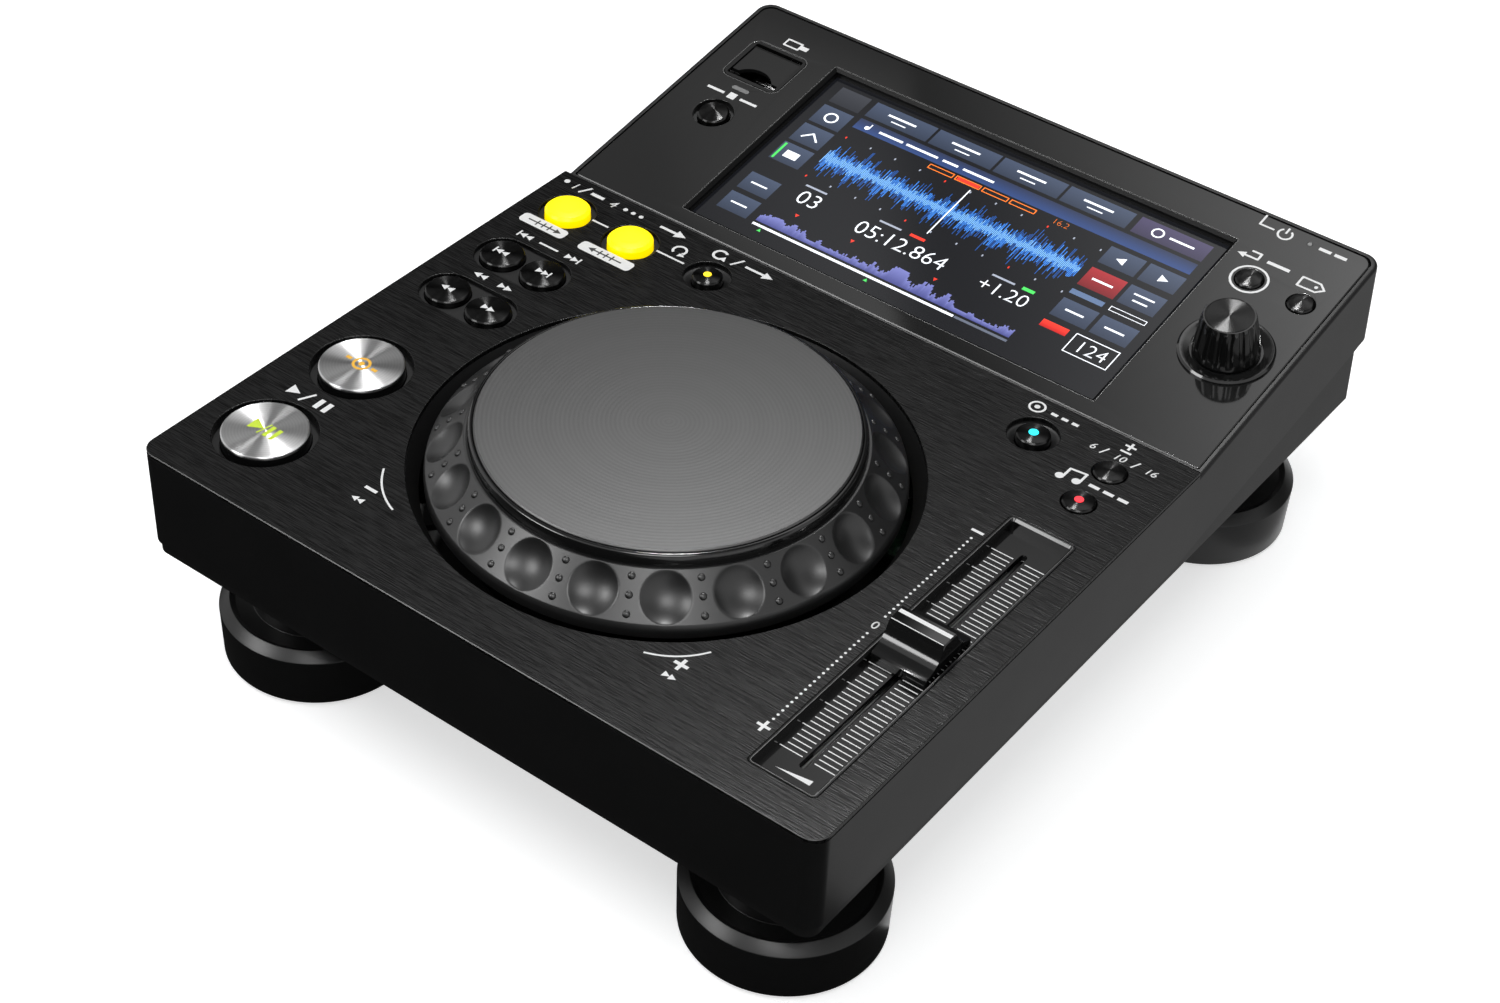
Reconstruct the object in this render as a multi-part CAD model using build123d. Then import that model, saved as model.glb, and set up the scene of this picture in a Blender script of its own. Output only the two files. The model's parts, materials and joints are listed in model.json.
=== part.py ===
from build123d import *
import os
from math import atan2, cos, radians, sin, tan

# Table-top music player deck: a flat control deck with a jog wheel in front, a tilted
# touch-screen panel behind it, and a low chassis on four round feet.
# X runs to the player's right, Y to the rear, Z up. The origin is on the table, under the
# middle of the case. Sizes are in millimetres.
# "Deck" places are given from the case's front left corner, with heights from the deck's top.
# "Panel" places are given on the tilted screen panel, from its front left corner.

# ---------------------------------------------------------------- main sizes
case_width = 240.0
deck_height = 80.6          # deck's top above the table
deck_depth = 188.5
side_height = 33.5          # moulded case, from the deck's top to its lower edge
side_kink = 183.0           # where the case's lower edge turns upwards
panel_tilt = 9.84
panel_drop = 2.2            # panel's front edge below the deck's top
panel_length = 110.6
panel_depth = 30.4          # case height under the panel, square to it
rear_lean_angle = 7.281     # rear wall, off upright
case_wall = 2.5
corner_radius = 5.5
rim_round = 1.2

deck_plate_thick = 1.5
deck_edge_chamfer = 0.35
panel_plate_thick = 2.0
panel_wall = 2.2
panel_rim = 1.9             # case rim round the glossy plate
panel_front_rim = 2.4
plate_gap = 0.4
panel_corner_radius = 4.0
panel_front_corner = 0.8

part_gap = 0.3              # between pieces that move past one another
running_gap = 0.05
seat_gap = 0.02             # round a piece that is pressed or screwed home
past = 1.0                  # cutting bodies run this far past the face they open
bite = 0.5                  # added bodies reach this far into the one that carries them
screw_pilot = 1.25

# ---------------------------------------------------------------- chassis and feet
chassis_drop = 4.1          # chassis below the case's lower edge at the front
chassis_inset = 1.0
chassis_wall = 2.0
chassis_rear_inset = 8.6
shelf_thick = 2.0
shelf_gap = 0.3
vent_count = 7
vent_pitch = 8.0
vent_front_y = 60.0
vent_length = 46.0
vent_width = 2.4

foot_inset_x = 32.0
foot_front_y = 35.2
foot_rear_inset = 37.7
foot_radius = 29.7
foot_top_radius = 30.0
foot_band = 17.6            # straight side above the table
foot_ring_radius = 26.7
foot_ring_top = 20.3
foot_neck_radius = 20.0
foot_wall = 3.0
foot_edge = 0.8
foot_ring_lip = 1.6
foot_ring_sink = 1.0
foot_well_top = 10.0
foot_well_mouth = 6.0
foot_pad_radius = 27.5
foot_pad_inner = 17.0
foot_pad_thick = 2.0
foot_pad_stand = 0.8
foot_screw_radius = 2.0
foot_screw_head = 4.0
foot_screw_head_height = 2.6
foot_screw_recess = 1.2
foot_screw_pilot = 1.75
foot_pilot_depth = 6.0
foot_screw_gap = 0.2
foot_head_gap = 0.6
foot_boss_radius = 6.0
foot_boss_height = 7.0

# ---------------------------------------------------------------- jog wheel
jog_x = case_width / 2 - 0.7
jog_y = deck_depth / 2 - 2.15
jog_opening_radius = 74.7
jog_funnel_radius = 71.1
jog_funnel_depth = 7.0
jog_funnel_wall = 2.0
dial_radius = 69.6
dial_flange_top = -1.0
dial_bottom = -3.6
dial_cone_low_radius = 69.2
dial_cone_low = 0.5
dial_cone_high_radius = 58.0
dial_cone_high = 11.0
dial_shell = 4.6
dial_web_thick = 2.6
dial_hub_radius = 14.5
dial_hub_bottom = -5.0
dial_skirt_step = 1.2       # shell thicker than its wall where it meets the flange
dial_top_land = 2.4         # top wall under the gloss rim
dial_ledge_reach = 6.0
dial_ledge_width = 3.0
dial_ledge_drop = 1.4
dial_hub_drop = 0.4
platter_seat_gap = 0.1
dimple_count = 20
dimple_phase = 2.0
dimple_radius = 7.4
dimple_depth = 2.3
pip_radius = 1.1
pip_height = 0.5
pip_taper = 0.55
pip_rows = (0.16, 0.5, 0.84)    # shares of the way up the cone
rim_outer_radius = 57.1
rim_height = 12.8
rim_top = 14.6
rim_skirt = 0.3
rim_seat_width = 2.3
rim_lip = 0.5
rim_crest = 1.1
rim_crest_drop = 0.4
rim_bore_gap = 0.25
rim_floor_drop = 0.2
rim_under_drop = 0.8
platter_radius = 55.24
platter_top = 15.1
platter_thick = 2.2
platter_edge = 0.5
platter_pin_radius = 6.0
platter_pin_length = 6.0
platter_press = 0.5
bearing_radius = 11.0
bearing_height = 7.0
bearing_groove_width = 2.8
bearing_groove_depth = 0.5
bearing_top_gap = 0.6
post_radius = 4.0
post_top = 1.5
encoder_radius = 30.0
encoder_thick = 0.8
encoder_slots = 36
encoder_slot_length = 4.0
encoder_slot_width = 2.0
encoder_slot_inset = 1.5
base_plate_radius = 62.0
base_plate_top = -14.5
base_plate_thick = 2.0
base_leg_radius = 4.0
base_leg_reach = 82.0
base_hub_radius = 9.0
base_hub_height = 3.0
base_window_radius = 11.0
base_window_reach = 38.0
sensor_width = 12.0
sensor_length = 14.0
sensor_gap = 2.4
sensor_lid = 1.6
sensor_web = 3.0
sensor_turn = 240.0

# ---------------------------------------------------------------- buttons
# x, y, cap radius, cap height above the deck, press travel, recess radius in the plate;
# keys at the rear are placed from the deck's rear edge, those on the right from the right edge
deck_buttons = {
    "play_button": (22.6, 28.1, 13.0, 1.3, 1.2, 15.45),
    "cue_button": (22.3, 68.4, 13.0, 1.3, 1.2, 15.45),
    "loop_in_button": (16.0, deck_depth - 17.9, 7.4, 2.4, 0.8, 9.3),
    "loop_out_button": (42.0, deck_depth - 18.0, 7.4, 2.4, 0.8, 9.3),
    "reloop_button": (71.8, deck_depth - 16.5, 4.9, 0.6, 0.8, 7.7),
    "track_back_button": (15.9, deck_depth - 49.5, 7.2, 1.0, 0.8, 9.0),
    "track_next_button": (32.3, deck_depth - 49.5, 7.2, 1.0, 0.8, 9.0),
    "search_back_button": (15.7, deck_depth - 74.8, 7.2, 1.0, 0.8, 9.0),
    "search_next_button": (32.1, deck_depth - 74.8, 7.2, 1.0, 0.8, 9.0),
    "vinyl_mode_button": (case_width - 47.0, deck_depth - 16.7, 5.25, 0.6, 0.8, 7.9),
    "tempo_range_button": (case_width - 20.35, deck_depth - 17.5, 5.0, 1.0, 0.8, 5.3),
    "master_tempo_button": (case_width - 20.3, deck_depth - 34.6, 5.0, 1.0, 0.8, 5.3),
}
panel_buttons = {
    "usb_stop_button": (21.5, 52.0, 5.4, 0.8, 0.8, 7.0),
    "back_button": (case_width - 30.1, 79.9, 4.4, 1.0, 0.8, 4.7),
    "tag_button": (case_width - 11.6, 79.0, 4.3, 1.0, 0.8, 4.6),
}
wide_button_radius = 10.0   # caps wider than this sit in a deep collar
collar_shelf = 3.2
collar_depth = 5.5
collar_wall = 1.2
flange_margin = 0.8
flange_thick = 1.0
stem_radius = 2.2
cap_edge = 0.4
cap_dome = 0.3
wide_cap_dome = 0.15
cap_dome_share = 0.55       # dome's shoulder, as a share of the cap's radius
dish_depth = 2.6
dish_margin = 2.0           # recesses wider than their cap by more than this are dishes
board_depth = 14.0          # boards under the deck and under the panel
board_thick = 1.6
switch_height = 4.0
switch_size = 6.2
plunger_radius = 1.6
plunger_height = 0.8
plunger_bite = 0.1
board_boss_radius = 3.0
board_boss_inset = 8.0
board_edge = 4.0            # boards inside the case's sides
board_screw_radius = 1.2
board_screw_head = 2.4
board_screw_head_height = 1.4
board_screw_length = 5.5
board_screw_pilot = 0.9
board_boss_bore = 6.0
board_hole_gap = 0.2

# ---------------------------------------------------------------- tempo fader
fader_x = case_width - 21.15
fader_y = (deck_buttons["master_tempo_button"][1] - 4.6) / 2    # middle of its strip
fader_opening_width = 21.8
fader_opening_length = 124.7
fader_corner = 1.6
fader_side_gap = 0.15
fader_bezel_corner = 0.6
fader_bezel_drop = 0.1
fader_recess = 3.2
fader_bezel_wall = 1.2
fader_bezel_floor = 1.2
fader_ear_reach = 4.0
fader_ear_length = 8.0
fader_ear_thick = 1.2
fader_ear_inset = 12.0
fader_slot_width = 2.2
fader_travel = 100.0
fader_rest = 0.9            # cap's rest place past the middle of its travel
fader_tang_width = 4.0
fader_tang_thick = 1.2
fader_frame_width = 12.0
fader_frame_height = 9.0
fader_frame_wall = 1.0
fader_frame_end = 8.0
fader_frame_gap = 0.8
fader_tab_width = 8.0
fader_tab_length = 4.0
fader_carriage_length = 9.0
fader_carriage_height = 4.2
fader_tang_top = 4.6        # tang's top above the deck
fader_rod_radius = 1.0
fader_rod_spacing = 5.6
fader_rod_drop = 3.2
fader_cap_width = 17.7
fader_cap_length = 22.0
fader_cap_ridge = 6.6
fader_cap_height = 7.6      # ridge above the deck
fader_cap_lip = 0.4         # ends above the deck
fader_cap_skirt = 2.6       # skirt into the recess
fader_cap_wall = 1.2
fader_cap_hollow = 3.2
fader_ridge_edge = 0.5
fader_ridge_drop = 0.7
fader_saddle_shift = 1.1
fader_saddle_sag = 1.5

# ---------------------------------------------------------------- screen
screen_u = 43.1             # side columns left for keys, sockets and the knob
screen_width = case_width - 2 * screen_u
screen_v = 10.3
screen_length = 82.4
screen_bevel = 1.0
screen_recess = 3.0
glass_thick = 1.2
glass_lap = 2.0
lcd_thick = 5.6
lcd_lap = 3.0
lcd_face_thick = 0.4
lcd_driver_width = 60.0
lcd_driver_length = 30.0
lcd_driver_thick = 2.2
lcd_tab_reach = 2.5
lcd_tab_width = 8.0
lcd_tab_thick = 1.0
lcd_tab_spread = 60.0

# ---------------------------------------------------------------- menu knob
knob_u = case_width - 20.2
knob_v = 49.2
knob_collar_radius = 14.9
knob_collar_inner = 11.2
knob_collar_height = 1.2
knob_collar_lip = 0.6
knob_collar_shoulder = 0.55     # shares of its height
knob_collar_inner_rise = 0.4
knob_base_radius = 10.4
knob_crown_radius = 8.6
knob_crown = 13.0
knob_top_radius = 8.1
knob_top = 14.8
knob_flutes = 16
knob_flute_radius = 1.1
knob_press = 0.6
knob_skirt = 1.6            # width of the base's lower ring
knob_skirt_rise = 2.4
knob_top_edge = 0.2
knob_bore_roof = 4.0
knob_flute_sink = 0.45
knob_flute_base = 1.2
knob_shaft_radius = 3.0
encoder_body = 12.0
encoder_height = 6.5
encoder_bush_radius = 4.5
encoder_shaft_root = 3.0
encoder_plunger_gap = 0.4

# ---------------------------------------------------------------- USB bay
bay_u = 21.7
bay_v = 80.7
bay_width = 22.4
bay_length = 20.5
bay_corner = 3.2
bay_inner_corner = 0.8
bay_wall = 1.4
bay_depth = 10.0
bay_floor = 1.2
bay_pin_cover = 0.5
flap_thick = 1.4
flap_sink = 0.5             # flap's face below the panel
flap_front = 74.9
flap_notch_radius = 8.5
flap_notch_rise = 3.6
flap_pin_radius = 0.8
flap_pin_length = 0.8
usb_mouth_width = 13.2
usb_mouth_height = 5.8
usb_depth = 14.0
usb_shell = 0.4
usb_tongue = 1.9
usb_tongue_gap = 0.3
usb_tongue_sink = 1.0
usb_back = 2.0
usb_board_width = 24.0
usb_board_length = 16.0

# ---------------------------------------------------------------- lights
led_u = 21.9
led_v = 66.5
led_width = 7.0
led_height = 1.7
standby_u = case_width - 22.4
standby_v = panel_length - 6.6
standby_radius = 0.8
lens_depth = 6.0
lens_flange = 1.0

# ---------------------------------------------------------------- rear sockets, from the left
rca_x = (58.0, 76.0)
rca_radius = 4.15
rca_collar_radius = 4.6
rca_block_depth = 10.0
rca_block_margin = 7.0
rca_pin_bore = 1.7
rca_reach = 7.0
rca_block_height = 12.0
lan_x = case_width / 2 - 12
lan_width = 16.2
lan_height = 13.4
lan_depth = 18.0
lan_side_wall = 2.1
lan_port_height = 7.4
lan_port_rise = 0.4         # port above the socket's middle
lan_key_width = 6.0
lan_key_height = 4.4
lan_key_rise = 3.6          # latch way's middle above the middle of the socket
lan_back = 3.0
usb_b_x = case_width / 2 + 22
usb_b_width = 12.0
usb_b_height = 11.0
usb_b_depth = 15.0
usb_b_wall = 1.5
usb_b_back = 4.0
usb_b_tongue_width = 5.4
usb_b_tongue_height = 3.0
usb_b_tongue_sink = 1.2
dc_x = case_width - 62.0
dc_radius = 4.6
dc_pin_radius = 1.0
dc_bore = 3.1
dc_depth = 11.0
dc_back = 2.0
dc_pin_sink = 1.2
socket_proud = 0.4          # sockets' faces outside the rear wall
power_x = case_width - 35.0
power_width = 9.0
power_height = 6.0
power_reach = 2.6
power_press = 2.0
power_root = 5.0            # button's length inside the wall's face
power_lip = 1.2
power_switch_depth = 12.0
lock_x = 30.0
lock_width = 7.0
lock_height = 3.2
jack_board_thick = 1.6
jack_board_stand = 2.2
board_seat_gap = 0.1
jack_post_radius = 2.5
jack_board_ends = (46.0, case_width - 22.0)
jack_board_depth = 19.0

# ---------------------------------------------------------------- boards and screws
main_board_x = case_width / 2
main_board_y = deck_depth - 12.5     # under the step between deck and panel
main_board_width = 150.0
main_board_length = 96.0
main_board_stand = 6.0
main_board_thick = 1.6
main_board_hole_inset = 5.0
main_board_post_radius = 3.0
# chips and connectors: x and y from the board's middle, width, length, height
main_board_chips = [
    (0, 0, 26, 26, 1.8), (-38, 8, 16, 12, 1.4), (-38, -14, 16, 12, 1.4), (36, 6, 14, 14, 1.2),
    (46, -22, 10, 8, 4.5), (-60, -26, 8, 8, 5.0), (0, -34, 40, 5, 4.0), (58, 20, 5, 24, 4.0)]
case_screw_side_y = jog_y - 8.1
case_screw_mid_gap = 11.5   # middle pair behind the deck's rear edge
case_screw_rear_inset = 15.8
case_screw_front_y = 10.0
case_boss_radius = 3.2
case_screw_clearance = 0.3
case_screw_length = 9.0
case_screw_head = 3.0
case_screw_sink = 1.2       # head sunk into the chassis floor

# ================================================================ helpers
BOTTOM = (Align.CENTER, Align.CENTER, Align.MIN)
TOP = (Align.CENTER, Align.CENTER, Align.MAX)
rear_lean = tan(radians(rear_lean_angle))
case_depth = deck_depth + (panel_length + panel_depth * rear_lean) * cos(radians(panel_tilt))
chassis_bottom = side_height + chassis_drop
socket_row = chassis_wall + jack_board_stand + jack_board_thick + board_seat_gap + lan_height / 2


def deck_at(x, y, z=0.0):
    """Place on the deck: from the front left corner, height from the deck's top."""
    return Pos(x - case_width / 2, y - case_depth / 2, deck_height + z)


panel_frame = deck_at(0, deck_depth, -panel_drop) * Rot(panel_tilt, 0, 0)


def panel_at(u, v, w=0.0):
    """Place on the tilted panel, w square to its face."""
    return panel_frame * Pos(u, v, w)


def panel_yz(v, w):
    """A panel place as deck depth and height."""
    t = radians(panel_tilt)
    return (deck_depth + v * cos(t) - w * sin(t), -panel_drop + v * sin(t) + w * cos(t))


def side_slab(points, x0, x1):
    """Extrude a (y, z) outline in deck sizes from x0 to x1."""
    outline = make_face(Polyline(*[(y, z) for y, z in points], close=True))
    face = Plane(origin=(x0, 0, 0), x_dir=(0, 1, 0), z_dir=(1, 0, 0)) * outline
    return deck_at(0, 0) * extrude(face, amount=x1 - x0, dir=(1, 0, 0))


def turned(points):
    """Solid of revolution about Z from a closed (radius, height) outline."""
    return revolve(Plane.XZ * make_face(Polyline(*points, close=True)), Axis.Z)


def ring(outer, inner, height):
    return Cylinder(outer, height, align=BOTTOM) - Cylinder(inner, height, align=BOTTOM)


def slab(width, length, height, radius):
    return extrude(RectangleRounded(width, length, radius), height)


def slot(length, width, height, turn=0.0):
    return extrude(SlotOverall(length, width, rotation=turn), height)


def cross_recess(head_radius, depth):
    blade = Box(1.2 * head_radius, 0.27 * head_radius, depth, align=BOTTOM)
    return blade + Rot(0, 0, 90) * blade


# ================================================================ side profiles
rear_top = panel_yz(panel_length, 0)
rear_low = (case_depth, panel_yz(panel_length, -panel_depth)[1])
slope = (rear_low[1] + side_height) / (rear_low[0] - side_kink)


def lower_edge(y):
    """Height of the case's lower edge at depth y."""
    return -side_height + max(0.0, y - side_kink) * slope


def rear_wall(z, inset):
    """Depth of a wall parallel to the case's rear wall at height z."""
    return rear_low[0] - (z - rear_low[1]) * rear_lean - inset


deck_under = deck_plate_thick + case_wall
panel_under = panel_plate_thick + panel_wall


def make_housing():
    shell = side_slab([(0, -deck_plate_thick), (deck_depth, -deck_plate_thick),
                       (deck_depth, -panel_drop), rear_top, rear_low,
                       (side_kink, -side_height), (0, -side_height)], 0, case_width)
    front = shell.edges().filter_by(Axis.Z).group_by(Axis.Y)[0]
    shell = fillet(front, corner_radius)
    lean = [e for e in shell.edges() if e.length > panel_depth * 0.8
            and e.center().Y > case_depth / 2 - 8 and abs(e.center().X) > case_width / 2 - 1]
    shell = fillet(lean, corner_radius)
    rims = shell.faces().sort_by(Axis.Y)[-1].edges().group_by(Axis.Z)[-1]
    rims = [e for e in rims if e.length > case_width / 2]
    shell = fillet(rims, rim_round)
    inner_front = panel_yz(0, -panel_under)
    inner_rear = panel_yz(panel_length - case_wall, -panel_under)
    cavity = side_slab([(case_wall, -deck_under), (deck_depth - 3 * case_wall, -deck_under),
                        (deck_depth - 2 * case_wall, inner_front[1]), inner_front, inner_rear,
                        (rear_wall(-chassis_bottom, case_wall), -chassis_bottom),
                        (case_wall, -chassis_bottom)],
                       case_wall, case_width - case_wall)
    cavity = fillet(cavity.edges().filter_by(Axis.Z), corner_radius - case_wall)
    shell -= cavity

    # jog opening with its sloping funnel
    funnel_outer = jog_opening_radius + jog_funnel_wall
    funnel = turned([(jog_funnel_radius, -jog_funnel_depth),
                     (jog_funnel_radius + jog_funnel_wall, -jog_funnel_depth),
                     (funnel_outer, -deck_under), (funnel_outer, -deck_plate_thick),
                     (jog_opening_radius, -deck_plate_thick)])
    shell -= deck_at(jog_x, jog_y, -deck_under) * Cylinder(funnel_outer, case_wall, align=BOTTOM)
    shell += deck_at(jog_x, jog_y) * funnel

    # pocket for the glossy plate and window for the screen
    shell -= panel_plate_place() * extrude(panel_plate_outline(0), panel_plate_thick + past)
    window = Pos(screen_u + screen_width / 2, screen_v + screen_length / 2, 0)
    shell -= panel_frame * window * Pos(0, 0, -panel_under - past) * Box(
        screen_width, screen_length, panel_under, align=BOTTOM)
    shell -= panel_frame * window * Pos(0, 0, -screen_recess) * Box(
        screen_width + 2 * glass_lap + 2 * part_gap, screen_length + 2 * glass_lap + 2 * part_gap,
        panel_under, align=TOP)

    # fader opening
    shell -= deck_at(fader_x, fader_y, -deck_under - past) * slab(
        fader_opening_width, fader_opening_length, case_wall + 2 * past, fader_corner)

    # button holes: collars for the wide caps, dishes for the small lit ones
    for name, (x, y, r, top, travel, recess) in deck_buttons.items():
        if r > wide_button_radius:
            shell += deck_at(x, y, -collar_depth) * Cylinder(
                recess + collar_wall, collar_depth - deck_under, align=BOTTOM)
            shell -= deck_at(x, y, -collar_shelf) * Cylinder(recess, collar_shelf, align=BOTTOM)
        elif recess > r + dish_margin:
            dish = Cone(r + part_gap, recess, dish_depth - deck_plate_thick, align=BOTTOM)
            shell -= deck_at(x, y, -dish_depth) * dish
        shell -= deck_at(x, y, -2 * collar_depth) * Cylinder(r + part_gap, 2 * collar_depth,
                                                            align=BOTTOM)
    for name, (u, v, r, top, travel, recess) in panel_buttons.items():
        shell -= panel_at(u, v, -2 * panel_under) * Cylinder(r + part_gap, 2 * panel_under,
                                                            align=BOTTOM)

    # menu knob's shaft, USB bay and light guides
    shell -= panel_at(knob_u, knob_v, -2 * panel_under) * Cylinder(
        encoder_bush_radius + part_gap, 2 * panel_under, align=BOTTOM)
    shell -= panel_at(bay_u, bay_v, -2 * panel_under) * slab(
        bay_width, bay_length, 2 * panel_under, bay_corner)
    shell -= panel_at(led_u, led_v, -2 * panel_under) * slot(led_width, led_height,
                                                             2 * panel_under)
    shell -= panel_at(standby_u, standby_v, -2 * panel_under) * Cylinder(
        standby_radius, 2 * panel_under, align=BOTTOM)

    # bosses for the case screws, the boards and the jog base
    for x, y in case_screw_places():
        top = ceiling(y)
        low = -chassis_bottom + chassis_wall
        boss = deck_at(x, y, low) * Cylinder(case_boss_radius, top - low, align=BOTTOM)
        pilot = deck_at(x, y, low) * Cylinder(screw_pilot, case_screw_length, align=BOTTOM)
        shell += boss - pilot
    for x, y in board_boss_places("deck"):
        boss = deck_at(x, y, -board_depth) * Cylinder(board_boss_radius, board_depth - deck_under,
                                                      align=BOTTOM)
        shell += boss - deck_at(x, y, -board_depth) * Cylinder(board_screw_pilot, board_boss_bore,
                                                              align=BOTTOM)
    for u, v in board_boss_places("panel"):
        boss = panel_at(u, v, -board_depth) * Cylinder(board_boss_radius, board_depth - panel_under,
                                                       align=BOTTOM)
        shell += boss - panel_at(u, v, -board_depth) * Cylinder(board_screw_pilot, board_boss_bore,
                                                              align=BOTTOM)
    return shell


def housing_part(shell, toward):
    """One of the housing's two mouldings, which butt under the deck plate's rear edge."""
    span = case_width + case_depth
    zone = deck_at(case_width / 2, deck_depth + toward * span / 2) * Box(span, span, span)
    return shell & zone


def ceiling(y):
    """Underside of the case's top wall at depth y, with a little overlap into the wall."""
    if y < deck_depth - 2 * case_wall - case_boss_radius:
        return -deck_under + bite
    t = radians(panel_tilt)
    return -panel_drop + (y - deck_depth) * tan(t) - panel_under / cos(t) + bite


def panel_plate_outline(gap):
    width = case_width - 2 * panel_rim - 2 * gap
    length = panel_length - panel_front_rim - panel_rim - 2 * gap
    sketch = Rectangle(width, length)
    rear = sketch.vertices().group_by(Axis.Y)[-1]
    sketch = fillet(rear, panel_corner_radius)
    return fillet(sketch.vertices().group_by(Axis.Y)[0], panel_front_corner)


def panel_plate_place(lift=0.0):
    length = panel_length - panel_front_rim - panel_rim
    return panel_at(case_width / 2, panel_front_rim + length / 2, -panel_plate_thick + lift)


def key_place(name):
    """Centre of a button, on the deck or on the panel."""
    return (deck_buttons.get(name) or panel_buttons[name])[:2]


def board_boss_places(side):
    """Bosses that hold the key boards, set among the keys."""
    if side == "deck":
        column_x, track_y = key_place("loop_out_button")[0] + 4, key_place("track_back_button")[1]
        vinyl_x, range_y = key_place("vinyl_mode_button")[0], key_place("tempo_range_button")[1]
        rear_y = deck_depth - 6.5
        return [(board_boss_inset, jog_y), (column_x, 48.0), (board_boss_inset, track_y + 16),
                (column_x, track_y - 11), (column_x + 12, rear_y), (vinyl_x - 11, rear_y),
                (case_width - board_boss_inset - 1, range_y - 8), (vinyl_x + 10, range_y - 21)]
    stop_v, knob_row = key_place("usb_stop_button")[1], knob_v
    right = case_width - board_boss_inset - 1
    return [(board_boss_inset + 2, stop_v - 12), (screen_u - 10, stop_v + 12),
            (screen_u + screen_width + 9, knob_row + 15), (right, knob_row + 39),
            (right, knob_row - 19)]


def make_deck_plate():
    blank = Rectangle(case_width, deck_depth)
    blank = fillet(blank.vertices().group_by(Axis.Y)[0], corner_radius)
    plate = deck_at(case_width / 2, deck_depth / 2, -deck_plate_thick) * extrude(
        blank, deck_plate_thick)
    plate = chamfer(plate.faces().sort_by(Axis.Z)[-1].edges(), deck_edge_chamfer)
    cut = -deck_plate_thick - past
    tall = deck_plate_thick + 2 * past
    plate -= deck_at(jog_x, jog_y, cut) * Cylinder(jog_opening_radius, tall, align=BOTTOM)
    plate -= deck_at(fader_x, fader_y, cut) * slab(
        fader_opening_width, fader_opening_length, tall, fader_corner)
    for name, (x, y, r, top, travel, recess) in deck_buttons.items():
        plate -= deck_at(x, y, cut) * Cylinder(recess, tall, align=BOTTOM)
    for a, b in (("track_back_button", "track_next_button"),
                 ("search_back_button", "search_next_button")):
        xa, ya, r, top, travel, recess = deck_buttons[a]
        xb = deck_buttons[b][0]
        plate -= deck_at((xa + xb) / 2, ya, cut) * Box(xb - xa, 2 * recess, tall, align=BOTTOM)
    return plate


def make_display_panel():
    plate = panel_plate_place() * extrude(panel_plate_outline(plate_gap), panel_plate_thick)
    screen = panel_at(screen_u + screen_width / 2, screen_v + screen_length / 2,
                      -panel_plate_thick)
    plate -= screen * Box(screen_width, screen_length, panel_plate_thick, align=BOTTOM)
    bevel = loft([Pos(0, 0, -screen_bevel) * Rectangle(screen_width, screen_length),
                  Rectangle(screen_width + 2 * screen_bevel, screen_length + 2 * screen_bevel)])
    plate -= panel_at(screen_u + screen_width / 2, screen_v + screen_length / 2) * bevel
    low = -panel_plate_thick - past
    tall = panel_plate_thick + 2 * past
    for name, (u, v, r, top, travel, recess) in panel_buttons.items():
        plate -= panel_at(u, v, low) * Cylinder(recess, tall, align=BOTTOM)
    plate -= panel_at(knob_u, knob_v, low) * Cylinder(encoder_bush_radius + part_gap, tall,
                                                      align=BOTTOM)
    plate -= panel_at(bay_u, bay_v, low) * slab(bay_width, bay_length, tall, bay_corner)
    plate -= panel_at(led_u, led_v, low) * slot(led_width, led_height, tall)
    plate -= panel_at(standby_u, standby_v, low) * Cylinder(standby_radius, tall, align=BOTTOM)
    return plate


def make_screen_glass():
    return panel_at(screen_u + screen_width / 2, screen_v + screen_length / 2,
                    -screen_recess - glass_thick) * Box(
        screen_width + 2 * glass_lap, screen_length + 2 * glass_lap, glass_thick, align=BOTTOM)


def make_lcd_module():
    place = panel_at(screen_u + screen_width / 2, screen_v + screen_length / 2,
                     -screen_recess - glass_thick - lcd_thick)
    can_thick = lcd_thick - lcd_face_thick
    can_width = screen_width + 2 * lcd_lap
    can = Box(can_width, screen_length + 2 * lcd_lap, can_thick, align=BOTTOM)
    can += Pos(0, 0, can_thick) * Box(screen_width + 2 * glass_lap, screen_length + 2 * glass_lap,
                                      lcd_face_thick, align=BOTTOM)
    can += Box(lcd_driver_width, lcd_driver_length, lcd_driver_thick, align=TOP)
    for side in (-1, 1):
        can += Pos(0, side * lcd_tab_spread / 2, 0) * Box(
            can_width + 2 * lcd_tab_reach, lcd_tab_width, lcd_tab_thick, align=BOTTOM)
    return place * can


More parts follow.
